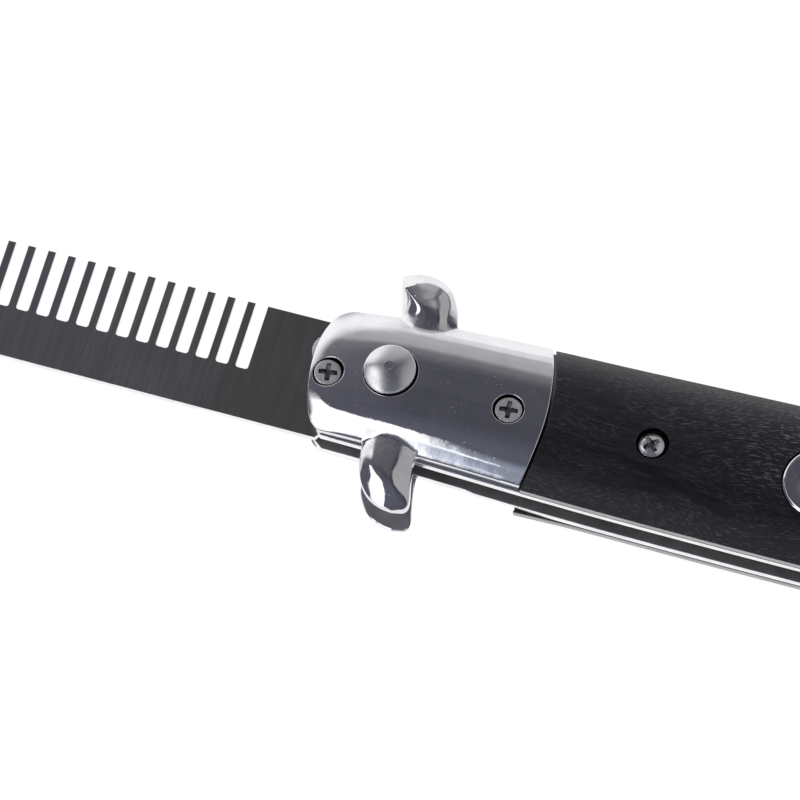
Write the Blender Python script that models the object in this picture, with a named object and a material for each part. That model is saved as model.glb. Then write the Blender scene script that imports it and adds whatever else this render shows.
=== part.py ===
# Spring-opening folding comb with a stiletto-style handle, lying on its far side, open.
#
# Work frame, in millimetres: origin on the pivot axis at the middle of the slot, +X towards
# the tail, +Y towards the teeth and the back of the handle, +Z towards the near (button)
# side. Everything is moved at the end so that the origin is the middle of the underside.

import bpy
import bmesh
import math
from mathutils import Vector

for old in list(bpy.data.objects):
    bpy.data.objects.remove(old, do_unlink=True)

MM = 0.001

# ---------------------------------------------------------------- driving dimensions (mm)
COMB_REACH = 96.0            # pivot to the comb's tip
COMB_SPINE = -7.35           # straight back edge of the comb
COMB_TIPS = 7.88             # line of the tooth tips at the first tooth
COMB_TIP_TAPER = 0.0079      # the tooth line closes in by this per mm towards the tip
COMB_ROOTS = -0.88           # bottom of the gaps between the teeth
COMB_Z = (0.15, 1.15)        # the comb runs nearer the near liner
TEETH = 31
TOOTH_PITCH = 2.54
TOOTH_WIDTH = 1.02
FIRST_TOOTH = -12.13
TANG_RADIUS = 5.4
TANG_SHOULDER = -1.2         # where the full-width root ends
PIN_RADIUS = 1.5
COMB_HOLE_RADIUS = 1.72

SLOT_HALF = 1.4              # half the gap between the liners
LINER_OUT = 2.4              # outer face of a liner
BASE_Z = 2.5                 # inner face of bolsters and scales
WALL_Z = 3.3                 # top of the upright rim of the bolsters
SCALE_WALL_Z = 3.65          # top of the upright rim of the scales
CROWN_Z = 6.3                # top of the domed faces
FLAT_CROWN = 0.22            # share of the half width that is flat along the crown
DOME_POWER = 2.6             # how fast a domed face falls away to its rim
LIMB_POWER = 2.4             # the same across a quillon
FRONT_RISE = 30.0            # the front bolster reaches full height this far back
FRONT_POWER = 5.5            # how early in that length it rises
JOINT_U = (27.45, 26.65)      # furthest point of the curved scale joint, near and far side
JOINT_V = -0.3
JOINT_CURVE = 0.0174
JOINT_GAP = 0.34
REAR_JOINT_U = 96.4          # same joint mirrored at the tail
TAIL_U = 116.0

BUTTON_AT = (7.4, 1.6)
BUTTON_RADIUS = 3.18
BUTTON_HOLE_AT = (7.49, 1.62)    # bored a little off the button, as the real one is
BUTTON_HOLE_RADIUS = 3.34
BUTTON_Z = (3.75, 6.75, 7.58)    # underside, upper edge, top of the low cone
BUTTON_TRAVEL = 1.0

HEAD_RADIUS = 1.68
RECESS_RADIUS = 2.06
BOLSTER_RECESS_RADIUS = 1.94
SHANK_RADIUS = 0.95
SHANK_HOLE_RADIUS = 1.10
ESCUTCHEON_AT = (61.6, 1.7)
ESCUTCHEON_RADIUS = 4.62

# screw, u, v, height of its head, radius of its head, turn of its cross in degrees,
# how far its recess is bored off centre along u
SCREWS = (
    ("pivot_screw", 0.0, 0.0, 4.60, 1.68, 8.0, 0.03),
    ("bolster_screw", 22.7, 0.62, 6.04, 1.70, 6.0, -0.04),
    ("scale_screw", 40.62, 1.02, 5.85, 1.58, 45.0, 0.20),
    ("rear_scale_screw", 82.6, 1.6, 5.85, 1.62, 20.0, 0.0),
)

# u along the handle, north edges of the bolsters and the scales, south edges of the
# bolsters, the scales and the liners
EDGES = (
    (-4.0, 9.10, 9.10, -7.20, -7.60, -7.40),
    (0.4, 9.35, 9.20, -7.20, -7.60, -7.42),
    (6.0, 10.05, 9.60, -7.22, -7.70, -7.48),
    (13.4, 10.45, 10.00, -7.36, -7.90, -7.66),
    (20.0, 10.78, 10.40, -7.52, -8.05, -7.88),
    (27.0, 11.12, 10.78, -7.72, -8.20, -8.09),
    (37.0, 11.50, 11.12, -7.95, -8.38, -8.28),
    (50.0, 11.95, 11.66, -8.05, -8.45, -8.35),
    (62.0, 12.25, 12.05, -8.10, -8.42, -8.32),
    (80.0, 11.80, 11.70, -8.05, -8.32, -8.20),
    (96.0, 10.80, 10.70, -7.85, -8.05, -7.95),
    (108.0, 9.80, 9.70, -7.40, -7.60, -7.50),
    (118.0, 9.20, 9.10, -6.90, -7.10, -7.00),
)

# quillon sections, root to tip: left edge u, v, right edge u, v, height of the ridge
QUILLON_NORTH = (
    (6.30, 7.50, 13.60, 7.00, 5.05),
    (6.28, 9.90, 13.38, 10.00, 5.05),
    (6.02, 11.20, 13.06, 11.45, 5.00),
    (5.70, 12.30, 12.62, 12.75, 4.95),
    (5.38, 13.20, 12.04, 13.85, 4.80),
    (5.14, 14.00, 11.30, 14.90, 4.55),
    (5.00, 14.60, 10.10, 15.75, 4.25),
    (4.95, 15.05, 8.50, 16.22, 3.95),
    (5.06, 15.40, 6.70, 16.12, 3.70),
)
QUILLON_SOUTH = (
    (6.30, -4.50, 13.20, -4.50, 4.40),
    (6.45, -7.00, 13.25, -7.20, 4.45),
    (6.65, -8.60, 13.38, -8.70, 4.50),
    (6.95, -10.20, 13.62, -10.20, 4.58),
    (7.45, -11.70, 13.92, -11.60, 4.60),
    (8.25, -13.00, 14.18, -12.70, 4.45),
    (9.40, -14.10, 14.32, -13.55, 4.20),
    (10.90, -14.75, 14.24, -14.20, 3.90),
    (12.40, -14.98, 13.85, -14.68, 3.65),
)

# the whole object's box in the work frame, for the shared origin
BOX_U = (-COMB_REACH, TAIL_U - 0.03)
BOX_V = (-14.98, 16.22)
ORIGIN = Vector(((BOX_U[0] + BOX_U[1]) / 2, (BOX_V[0] + BOX_V[1]) / 2, -CROWN_Z))


# ---------------------------------------------------------------- helpers
def placed(u, v, z):
    return (Vector((u, v, z)) - ORIGIN) * MM


def smooth_row(table, u, column):
    """Cubic through the rows of a table, read at u."""
    rows = [(r[0], r[column]) for r in table]
    if u <= rows[0][0]:
        return rows[0][1]
    if u >= rows[-1][0]:
        return rows[-1][1]
    for i in range(len(rows) - 1):
        if rows[i][0] <= u <= rows[i + 1][0]:
            break
    x0, y0 = rows[i]
    x1, y1 = rows[i + 1]

    def slope(k):
        a = rows[max(k - 1, 0)]
        b = rows[min(k + 1, len(rows) - 1)]
        return (b[1] - a[1]) / (b[0] - a[0])

    h = x1 - x0
    t = (u - x0) / h
    return ((2 * t**3 - 3 * t**2 + 1) * y0 + (t**3 - 2 * t**2 + t) * h * slope(i)
            + (-2 * t**3 + 3 * t**2) * y1 + (t**3 - t**2) * h * slope(i + 1))


def north(u):
    return smooth_row(EDGES, u, 1)


def scale_north(u):
    return smooth_row(EDGES, u, 2)


def bolster_south(u):
    return smooth_row(EDGES, u, 3)


def scale_south(u):
    return smooth_row(EDGES, u, 4)


def far_scale_south(u):
    """The far scale stands proud of the liner by the bolster, then runs flush with it."""
    return scale_south(u) - 0.02 - 0.36 * min(1.0, max(0.0, (36.0 - u) / 9.0)) ** 1.5


def liner_south(u):
    return smooth_row(EDGES, u, 5)


def joint_line(v, side=1):
    return JOINT_U[0 if side > 0 else 1] - JOINT_CURVE * (v - JOINT_V) ** 2


def rear_line(v):
    return REAR_JOINT_U + JOINT_CURVE * (v - JOINT_V) ** 2


def front_line(v):
    return -2.47 + (0.044 if v > 2.6 else 0.0242) * (v - 2.6) ** 2


def tail_line(v):
    return TAIL_U - 0.030 * (v - 1.2) ** 2


def material(name, colour, roughness, metallic):
    mat = bpy.data.materials.new(name)
    mat.use_nodes = True
    shader = mat.node_tree.nodes["Principled BSDF"]
    shader.inputs["Base Color"].default_value = (*colour, 1.0)
    shader.inputs["Roughness"].default_value = roughness
    shader.inputs["Metallic"].default_value = metallic
    return mat


CHROME = dict(colour=(0.80, 0.80, 0.83), roughness=0.06, metallic=1.0)
STEEL = dict(colour=(0.30, 0.30, 0.32), roughness=0.34, metallic=1.0)
PLATE = dict(colour=(0.62, 0.62, 0.64), roughness=0.25, metallic=1.0)
SCREW = dict(colour=(0.60, 0.60, 0.62), roughness=0.30, metallic=1.0)
WOOD = dict(colour=(0.018, 0.017, 0.020), roughness=0.42, metallic=0.0)


def make_object(name, verts, faces, look, origin=(0.0, 0.0, 0.0)):
    """A mesh object from work-frame points; origin is its own origin in the work frame."""
    place = placed(*origin)
    mesh = bpy.data.meshes.new(name)
    mesh.from_pydata([tuple(placed(*p) - place) for p in verts], [], faces)
    bm = bmesh.new()
    bm.from_mesh(mesh)
    bmesh.ops.remove_doubles(bm, verts=bm.verts, dist=1e-7)
    bmesh.ops.recalc_face_normals(bm, faces=bm.faces)
    bm.to_mesh(mesh)
    bm.free()
    mesh.update()
    obj = bpy.data.objects.new(name, mesh)
    obj.location = place
    bpy.context.collection.objects.link(obj)
    if look is not None:
        obj.data.materials.append(material(name, **look))
    return obj


def smooth(obj, degrees=32.0):
    obj.data.shade_smooth()
    obj.data.set_sharp_from_angle(angle=math.radians(degrees))
    return obj


def prism(name, outline, z0, z1, look, origin=(0.0, 0.0, 0.0)):
    """An outline in plan, carried straight from z0 to z1."""
    n = len(outline)
    verts = [(u, v, z0) for u, v in outline] + [(u, v, z1) for u, v in outline]
    faces = [tuple(range(n))[::-1], tuple(range(n, 2 * n))]
    faces += [(i, (i + 1) % n, n + (i + 1) % n, n + i) for i in range(n)]
    return make_object(name, verts, faces, look, origin)


def turned(name, centre, profile, sides, look, origin=(0.0, 0.0, 0.0)):
    """A solid of revolution about a line along Z; profile rows are (radius, z), bottom to top."""
    verts, rings = [], []
    for radius, z in profile:
        if radius < 1e-6:
            rings.append([len(verts)])
            verts.append((centre[0], centre[1], z))
            continue
        ring = []
        for k in range(sides):
            a = 2 * math.pi * k / sides
            ring.append(len(verts))
            verts.append((centre[0] + radius * math.cos(a), centre[1] + radius * math.sin(a), z))
        rings.append(ring)
    faces = []
    for low, high in zip(rings, rings[1:]):
        for k in range(sides):
            j = (k + 1) % sides
            if len(low) == 1:
                faces.append((low[0], high[j], high[k]))
            elif len(high) == 1:
                faces.append((low[k], low[j], high[0]))
            else:
                faces.append((low[k], low[j], high[j], high[k]))
    if len(rings[0]) > 1:
        faces.append(tuple(rings[0][::-1]))
    if len(rings[-1]) > 1:
        faces.append(tuple(rings[-1]))
    return make_object(name, verts, faces, look, origin)


def disc(name, centre, radius, z0, z1, sides=40, look=None):
    return turned(name, centre, ((radius, z0), (radius, z1)), sides, look)


def carve(obj, tool, operation="DIFFERENCE"):
    """Keep a cutter or a joined shape as a live modifier; the tool itself is hidden."""
    mod = obj.modifiers.new(operation.title() + "_" + tool.name, "BOOLEAN")
    mod.operation = operation
    mod.solver = "EXACT"
    mod.object = tool
    tool.hide_render = True
    tool.display_type = "WIRE"
    return mod


def mirror_rows(points, side):
    return [(u, v, z * side) for u, v, z in points]


# ---------------------------------------------------------------- domed plates
def dome(eta, lift, wall, corner=1.0):
    """Height of a domed face: a full arch with a narrow flat along its crown.

    corner above 1 lets the end and the south flank fall together past the rim.
    """
    e = max(0.0, (abs(eta) - FLAT_CROWN) / (1.0 - FLAT_CROWN))
    arch = 1.0 - min(1.0, e) ** DOME_POWER
    share = arch * lift
    if corner > 1.0 and eta < 0.0:
        share = 1.0 - ((1.0 - arch) ** corner + (1.0 - lift) ** corner) ** (1.0 / corner)
    return wall + (CROWN_Z - wall) * share


def spread(count):
    """Cross stations from edge to edge, closer together at the steep edges."""
    half = [FLAT_CROWN + (1.0 - FLAT_CROWN) * math.sin(0.5 * math.pi * k / count)
            for k in range(count + 1)]
    return [-h for h in half[::-1]] + half


def rounded_in(distance, radius):
    """How far an edge draws in near a rounded corner."""
    if distance >= radius:
        return 0.0
    t = 1.0 - distance / radius
    return radius * (1.0 - math.sqrt(max(0.0, 1.0 - t * t)))


def domed_plate(name, look, side, start, end, south, north, wall, stops, lift,
                corners=(0.0, 0.0), at_end=False, relief=lambda u, v: 1.0, corner=1.0):
    """A plate with an upright rim and a domed face.

    start(v) and end(v) are its end lines in plan, south(u) and north(u) its long edges,
    wall the height of its upright rim, stops the distances of its sections from the start,
    lift(distance from start, distance from end) the share of the dome's height there,
    corners the radii of its south and north corners at the rounded end, relief(u, v) a
    further share of the height by place, and corner how an end and a flank meet.
    """
    mid = 1.6
    u_start, u_end = start(mid), end(mid)
    length = u_end - u_start
    etas = spread(9)
    rows = []
    for stop in stops:
        d = min(stop, length)
        s = d / length
        near_end = (length - d) if at_end else d
        u0 = u_start + d
        v_low = south(u0) + rounded_in(near_end, corners[0])
        v_high = north(u0) - rounded_in(near_end, corners[1])
        row = []
        for eta in etas:
            v = v_low + 0.5 * (eta + 1.0) * (v_high - v_low)
            u = (1.0 - s) * start(v) + s * end(v)
            row.append((u, v, dome(eta, lift(d, length - d) * relief(u, v), wall, corner)))
        rows.append(row)
    top = [p for row in rows for p in row]
    wide = len(etas)
    tall = len(rows)
    rim = ([j for j in range(wide)]
           + [i * wide + wide - 1 for i in range(1, tall)]
           + [(tall - 1) * wide + j for j in range(wide - 2, -1, -1)]
           + [i * wide for i in range(tall - 2, 0, -1)])
    base = [(top[k][0], top[k][1], BASE_Z) for k in rim]
    verts = mirror_rows(top + base, side)
    n = len(top)
    faces = []
    for i in range(tall - 1):
        for j in range(wide - 1):
            a = i * wide + j
            faces.append((a, a + 1, a + wide + 1, a + wide))
    for k in range(len(rim)):
        m = (k + 1) % len(rim)
        faces.append((rim[k], rim[m], n + m, n + k))
    faces.append(tuple(n + k for k in range(len(rim))))
    return smooth(make_object(name, verts, faces, look))


def quillon(name, table, side):
    """A short curved limb: upright sides, a rounded top, each section from edge to edge."""
    count = len(table)
    arcs = 10
    rows = []
    for left_u, left_v, right_u, right_v, ridge in table:
        left, right = Vector((left_u, left_v)), Vector((right_u, right_v))
        wall = min(WALL_Z + 0.1, ridge - 0.3)
        row = [(left, BASE_Z)]
        for k in range(arcs + 1):
            t = math.pi * k / arcs
            across = -math.cos(t)
            row.append((left.lerp(right, 0.5 + 0.5 * across),
                        wall + (ridge - wall) * (1.0 - abs(across) ** LIMB_POWER)))
        row.append((right, BASE_Z))
        rows.append([(p.x, p.y, z) for p, z in row])
    wide = len(rows[0])
    verts = mirror_rows([p for row in rows for p in row], side)
    faces = []
    for i in range(count - 1):
        for j in range(wide):
            k = (j + 1) % wide
            faces.append((i * wide + j, i * wide + k, (i + 1) * wide + k, (i + 1) * wide + j))
    faces.append(tuple(range(wide)))
    faces.append(tuple((count - 1) * wide + j for j in range(wide))[::-1])
    return make_object(name, verts, faces, None)


def front_lift(d, _):
    t = min(1.0, d / FRONT_RISE)
    return 0.22 + 0.78 * (1.0 - (1.0 - t) ** FRONT_POWER)


def front_relief(u, v):
    """A shallow hollow in the south half of the front bolster, deepest above the quillon."""
    t = (27.4 - u) / 14.0 if u >= 13.4 else (u + 3.0) / 16.4
    along, across = min(1.0, max(0.0, t)), min(1.0, max(0.0, (0.5 - v) / 4.0))
    return 1.0 - 0.075 * along ** 2 * across


def tail_lift(_, d):
    t = min(1.0, d / 12.0)
    return 0.20 + 0.80 * math.sqrt(1.0 - (1.0 - t) ** 2)


def full_lift(_, __):
    return 1.0


FRONT_STOPS = (0.0, 0.12, 0.35, 0.7, 1.2, 1.9, 2.8, 4.0, 5.5, 7.2, 9.0, 11.0, 13.5, 16.0, 19.0, 22.5,
               99.0)
SCALE_STOPS = (0.0, 6.0, 12.0, 18.0, 24.0, 30.0, 36.0, 42.0, 48.0, 54.0, 60.0, 65.0, 99.0)
TAIL_STOPS = (0.0, 4.0, 7.6, 10.4, 12.8, 14.8, 16.4, 17.6, 18.4, 18.95, 19.25, 99.0)

for side, tag in ((1, "near"), (-1, "far")):
    bolster = domed_plate("front_bolster_" + tag, CHROME, side, front_line,
                          lambda v: joint_line(v, side), bolster_south, north, WALL_Z,
                          FRONT_STOPS, front_lift, corners=(1.7, 1.9), relief=front_relief,
                          corner=3.0)
    carve(bolster, quillon("quillon_north_" + tag, QUILLON_NORTH, side), "UNION")
    carve(bolster, quillon("quillon_south_" + tag, QUILLON_SOUTH, side), "UNION")
    scale = domed_plate("scale_" + tag, WOOD, side,
                        lambda v: joint_line(v, side) + JOINT_GAP,
                        lambda v: rear_line(v) - JOINT_GAP,
                        scale_south if side > 0 else far_scale_south, scale_north, SCALE_WALL_Z,
                        SCALE_STOPS, full_lift)
    rear = domed_plate("rear_bolster_" + tag, CHROME, side, rear_line, tail_line,
                       bolster_south, north, WALL_Z, TAIL_STOPS, tail_lift, corners=(3.6, 3.6),
                       at_end=True)
    hosts = {"pivot_screw": bolster, "bolster_screw": bolster,
             "scale_screw": scale, "rear_scale_screw": scale}
    for screw, u, v, head, head_radius, turn, shift in SCREWS:
        host = hosts[screw]
        low, high = sorted((side * (head - 0.78), side * 8.0))
        recess = BOLSTER_RECESS_RADIUS if host is bolster else RECESS_RADIUS
        carve(host, disc("recess_%s_%s" % (screw, tag), (u + shift, v), recess, low, high, 32))
        low, high = sorted((side * 2.0, side * (head - 0.5)))
        carve(host, disc("shank_hole_%s_%s" % (screw, tag), (u, v),
                         SHANK_HOLE_RADIUS, low, high, 16))
        profile = ((SHANK_RADIUS, BASE_Z + 0.05), (SHANK_RADIUS, head - 0.68),
                   (head_radius, head - 0.68), (head_radius, head - 0.12),
                   (head_radius - 0.16, head))
        if side < 0:
            profile = tuple((r, -z) for r, z in profile[::-1])
        part = smooth(turned("%s_%s" % (screw, tag), (u, v), profile, 28, SCREW))
        arm, thick = 1.05, 0.36
        a = math.radians(turn)
        cross = []
        for k in range(4):
            for along, across in ((thick, thick), (arm, thick), (arm, -thick)):
                b = a - k * math.pi / 2
                cross.append((u + along * math.cos(b) - across * math.sin(b),
                              v + along * math.sin(b) + across * math.cos(b)))
        low, high = sorted((side * (head - 0.42), side * (head + 0.5)))
        carve(part, prism("cross_%s_%s" % (screw, tag), cross, low, high, None))
    if side > 0:
        carve(bolster, disc("button_hole", BUTTON_HOLE_AT, BUTTON_HOLE_RADIUS, 1.5, 8.0, 48))
        carve(scale, disc("escutcheon_seat", ESCUTCHEON_AT, ESCUTCHEON_RADIUS + 0.08,
                          CROWN_Z - 1.25, 8.0, 40))
        carve(scale, disc("escutcheon_shank_hole", ESCUTCHEON_AT, SHANK_HOLE_RADIUS, 1.5, 6.0, 16))

# ---------------------------------------------------------------- escutcheon and its screw
R = ESCUTCHEON_RADIUS
DISC_TOP = CROWN_Z + 0.12
escutcheon = smooth(turned("escutcheon", ESCUTCHEON_AT,
                           ((R, CROWN_Z - 1.15), (R, DISC_TOP - 0.30), (R - 0.34, DISC_TOP)),
                           48, CHROME))
carve(escutcheon, turned("escutcheon_bore", ESCUTCHEON_AT,
                         ((SHANK_HOLE_RADIUS, 4.0), (SHANK_HOLE_RADIUS, DISC_TOP - 0.82),
                          (RECESS_RADIUS - 0.06, DISC_TOP - 0.82), (RECESS_RADIUS - 0.06, 8.0)),
                         32, None))
head = DISC_TOP - 0.04
screw = smooth(turned("escutcheon_screw", ESCUTCHEON_AT,
                      ((SHANK_RADIUS, BASE_Z + 0.05), (SHANK_RADIUS, head - 0.68),
                       (HEAD_RADIUS, head - 0.68), (HEAD_RADIUS, head - 0.12),
                       (HEAD_RADIUS - 0.16, head)), 28, SCREW))
cross = []
for k in range(4):
    for along, across in ((0.36, 0.36), (1.05, 0.36), (1.05, -0.36)):
        b = math.radians(12.0) - k * math.pi / 2
        cross.append((ESCUTCHEON_AT[0] + along * math.cos(b) - across * math.sin(b),
                      ESCUTCHEON_AT[1] + along * math.sin(b) + across * math.cos(b)))
carve(screw, prism("cross_escutcheon_screw", cross, head - 0.42, head + 0.5, None))


# ---------------------------------------------------------------- liners, spacers, pin
def liner_outline(side):
    """Plan of a liner: the bolster's own front, a round nose, and a proud south edge."""
    points = []
    steps = 40
    for k in range(steps + 1):                       # south edge, front to tail
        u = 1.2 + (TAIL_U - 5.2 - 1.2) * k / steps
        points.append((u, liner_south(u) - (0.18 if side < 0 and u > 20.0 else 0.0)))
    for k in range(1, 12):                           # round tail
        t = k / 12.0
        v = liner_south(TAIL_U - 5.2) + t * (north(TAIL_U - 4.4) - 0.2 - liner_south(TAIL_U - 5.2))
        bow = math.sin(math.pi * t) ** 0.6
        points.append((TAIL_U - 5.2 + 4.9 * bow, v))
    for k in range(steps + 1):                       # north edge, tail to front
        u = (TAIL_U - 4.4) + (1.6 - (TAIL_U - 4.4)) * k / steps
        points.append((u, north(u) - 0.2))
    for v in (8.3, 7.4, 6.4):                        # front, north to south
        points.append((front_line(v) + (0.9 if v > 8 else 0.35 if v > 7 else 0.15), v))
    for k in range(6):                               # round nose past the bolster
        a = math.radians(140.0 + 12.0 * k)
        points.append((-0.93 + 2.2 * math.cos(a), 3.75 + 2.2 * math.sin(a)))
    for v in (1.4, -1.0, -3.5, -5.6, -6.6):
        points.append((front_line(v) + (0.5 if v < -6 else 0.15), v))
    return points


for side, tag in ((1, "near"), (-1, "far")):
    low, high = sorted((side * SLOT_HALF, side * LINER_OUT))
    liner = prism("liner_" + tag, liner_outline(side), low, high, PLATE)
    carve(liner, disc("liner_pin_hole_" + tag, (0.0, 0.0), PIN_RADIUS + 0.1, -4.0, 4.0, 24))

prism("back_spacer",
      [(1.6, 7.62)] + [(97.6, 7.62)]
      + [(97.6 - 96.0 * k / 24, north(97.6 - 96.0 * k / 24) - 0.5) for k in range(25)],
      -SLOT_HALF + 0.08, SLOT_HALF - 0.08, PLATE)

tail_points = []
for k in range(8):
    u = 98.0 + (TAIL_U - 5.6 - 98.0) * k / 7
    tail_points.append((u, liner_south(u) + 0.35))
for k in range(1, 10):
    t = k / 10.0
    lo, hi = liner_south(TAIL_U - 5.6) + 0.35, north(TAIL_U - 4.8) - 0.55
    tail_points.append((TAIL_U - 5.6 + 4.9 * math.sin(math.pi * t) ** 0.6, lo + t * (hi - lo)))
for k in range(8):
    u = (TAIL_U - 4.8) + (98.0 - (TAIL_U - 4.8)) * k / 7
    tail_points.append((u, north(u) - 0.5))
prism("tail_spacer", tail_points, -SLOT_HALF + 0.08, SLOT_HALF - 0.08, PLATE)

disc("pivot_pin", (0.0, 0.0), PIN_RADIUS, -LINER_OUT, LINER_OUT, 32, SCREW)

# ---------------------------------------------------------------- push button
bx, by = BUTTON_AT
under, edge, top = BUTTON_Z
button = smooth(turned("push_button", BUTTON_AT, (
    (BUTTON_RADIUS, under),
    (BUTTON_RADIUS, edge - 0.10),
    (BUTTON_RADIUS - 0.10, edge),
    (BUTTON_RADIUS * 0.72, edge + (top - edge) * 0.31),
    (BUTTON_RADIUS * 0.45, edge + (top - edge) * 0.66),
    (BUTTON_RADIUS * 0.18, top),
    (BUTTON_RADIUS * 0.10, top - 0.12),
    (0.0, top - 0.16),
), 40, CHROME, origin=(bx, by, under)))


# ---------------------------------------------------------------- comb
def tip_line(u):
    return COMB_TIPS + (u - FIRST_TOOTH) * COMB_TIP_TAPER


def comb_outline():
    points = []
    # spine, from the rounded tip to the tang
    reach = COMB_REACH
    corner = 5.5
    for k in range(9):
        a = math.radians(180.0 + 90.0 * k / 8)
        points.append((-reach + corner + corner * math.cos(a),
                       COMB_SPINE + corner + corner * math.sin(a)))
    points.append((0.4, COMB_SPINE))
    # tang: a round heel about the pivot, up to the shoulder
    start = math.atan2(-TANG_RADIUS * 0.92, 1.7)
    for k in range(15):
        a = start + (math.radians(98.0) - start) * k / 14
        points.append((TANG_RADIUS * math.cos(a), TANG_RADIUS * math.sin(a)))
    points.append((TANG_SHOULDER, 6.4))
    points.append((TANG_SHOULDER, tip_line(TANG_SHOULDER) - 0.5))
    points.append((TANG_SHOULDER - 0.5, tip_line(TANG_SHOULDER)))
    # teeth, from the root outwards; each gap has small rounded corners at its bottom
    half = TOOTH_WIDTH / 2
    gap = TOOTH_PITCH - TOOTH_WIDTH
    r = 0.32
    right = FIRST_TOOTH + half + gap
    for k in range(TEETH + 1):
        left = right - gap
        points.append((right, tip_line(right)))
        for j in range(4):
            a = math.radians(-30.0 * j)
            points.append((right - r + r * math.cos(a), COMB_ROOTS + r + r * math.sin(a)))
        for j in range(4):
            a = math.radians(-90.0 - 30.0 * j)
            points.append((left + r + r * math.cos(a), COMB_ROOTS + r + r * math.sin(a)))
        points.append((left, tip_line(left)))
        right = left - TOOTH_WIDTH
    # end guard
    points.append((-reach + 1.4, tip_line(-reach)))
    points.append((-reach + 0.4, tip_line(-reach) - 0.4))
    points.append((-reach, tip_line(-reach) - 1.4))
    return points


comb = prism("comb_blade", comb_outline(), COMB_Z[0], COMB_Z[1], STEEL)
carve(comb, disc("comb_pivot_hole", (0.0, 0.0), COMB_HOLE_RADIUS, -3.0, 3.0, 32))
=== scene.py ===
"""Folding comb on a white surface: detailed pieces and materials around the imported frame.

Plan sizes are in millimetres in a work frame whose origin is on the pivot axis in the middle
of the slot: u runs towards the tail, v towards the teeth, w towards the button's side.
"""
import math

import bmesh
import bpy
import numpy as np
from mathutils import Matrix, Vector
from mathutils.geometry import delaunay_2d_cdt
from mathutils.kdtree import KDTree


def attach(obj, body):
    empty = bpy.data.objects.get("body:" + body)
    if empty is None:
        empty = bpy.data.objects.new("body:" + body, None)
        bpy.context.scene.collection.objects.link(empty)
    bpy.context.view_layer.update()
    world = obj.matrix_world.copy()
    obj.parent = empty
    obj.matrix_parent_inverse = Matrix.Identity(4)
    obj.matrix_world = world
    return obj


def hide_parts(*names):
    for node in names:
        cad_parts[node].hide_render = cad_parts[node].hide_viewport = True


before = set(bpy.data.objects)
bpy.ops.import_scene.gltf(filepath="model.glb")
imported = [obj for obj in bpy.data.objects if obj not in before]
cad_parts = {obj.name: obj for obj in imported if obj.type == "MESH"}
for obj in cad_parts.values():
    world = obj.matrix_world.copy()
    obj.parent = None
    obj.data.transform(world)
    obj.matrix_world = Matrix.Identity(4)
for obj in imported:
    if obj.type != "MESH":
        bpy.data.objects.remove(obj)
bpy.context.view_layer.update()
SCENE = bpy.context.scene
ORIGIN = np.array((9.985, 0.62, -6.3))


def placed(points):
    """Work-frame millimetres to the row frame in metres."""
    return (np.asarray(points, float) - ORIGIN) * 0.001


# ------------------------------------------------------------------ plan shapes
EDGES = np.array((
    (-4.0, 9.10, 9.10, -7.20, -7.60, -7.40),
    (0.4, 9.35, 9.20, -7.20, -7.60, -7.42),
    (6.0, 10.05, 9.60, -7.22, -7.70, -7.48),
    (13.4, 10.45, 10.00, -7.36, -7.90, -7.66),
    (20.0, 10.78, 10.40, -7.52, -8.05, -7.88),
    (27.0, 11.12, 10.78, -7.72, -8.20, -8.09),
    (37.0, 11.50, 11.12, -7.95, -8.38, -8.28),
    (50.0, 11.95, 11.66, -8.05, -8.45, -8.35),
    (62.0, 12.25, 12.05, -8.10, -8.42, -8.32),
    (80.0, 11.80, 11.70, -8.05, -8.32, -8.20),
    (96.0, 10.80, 10.70, -7.85, -8.05, -7.95),
    (108.0, 9.80, 9.70, -7.40, -7.60, -7.50),
    (118.0, 9.20, 9.10, -6.90, -7.10, -7.00),
))
QUILLON_NORTH = np.array((
    (6.30, 7.50, 13.60, 7.00),
    (6.28, 9.90, 13.38, 10.00),
    (6.02, 11.20, 13.06, 11.45),
    (5.70, 12.30, 12.62, 12.75),
    (5.38, 13.20, 12.04, 13.85),
    (5.14, 14.00, 11.30, 14.90),
    (5.00, 14.60, 10.10, 15.75),
    (4.95, 15.05, 8.50, 16.22),
    (5.06, 15.40, 6.70, 16.12),
))
QUILLON_SOUTH = np.array((
    (6.30, -4.50, 13.20, -4.50, 4.90),
    (6.45, -7.00, 13.25, -7.20, 4.95),
    (6.65, -8.60, 13.38, -8.70, 4.95),
    (6.95, -10.20, 13.62, -10.20, 4.92),
    (7.45, -11.70, 13.92, -11.60, 4.86),
    (8.25, -13.00, 14.18, -12.70, 4.78),
    (9.40, -14.10, 14.32, -13.55, 4.65),
    (10.90, -14.75, 14.24, -14.20, 4.40),
    (12.40, -14.98, 13.85, -14.68, 4.10),
))
WALL, SCALE_WALL, CROWN, FLAT, POWER = 3.3, 3.65, 6.3, 0.22, 2.6
JOINT_U, JOINT_V, JOINT_CURVE, JOINT_GAP = {1: 27.45, -1: 26.65}, -0.3, 0.0174, 0.34
REAR_U, TAIL_U = 96.4, 116.0
BUTTON, BUTTON_HOLE = (7.4, 1.6), (7.49, 1.62, 3.34)
SCREWS = (
    ("pivot_screw", 0.0, 0.0, 4.60, 1.68, 8.0, 0.03),
    ("bolster_screw", 22.7, 0.62, 6.04, 1.70, 6.0, -0.04),
    ("scale_screw", 40.58, 1.04, 6.09, 1.65, 45.0, 0.18),
    ("rear_scale_screw", 82.6, 1.6, 5.85, 1.62, 20.0, 0.0),
)
RECESS, BOLSTER_RECESS = 2.06, 1.94
ESCUTCHEON = (61.6, 1.7)


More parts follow.
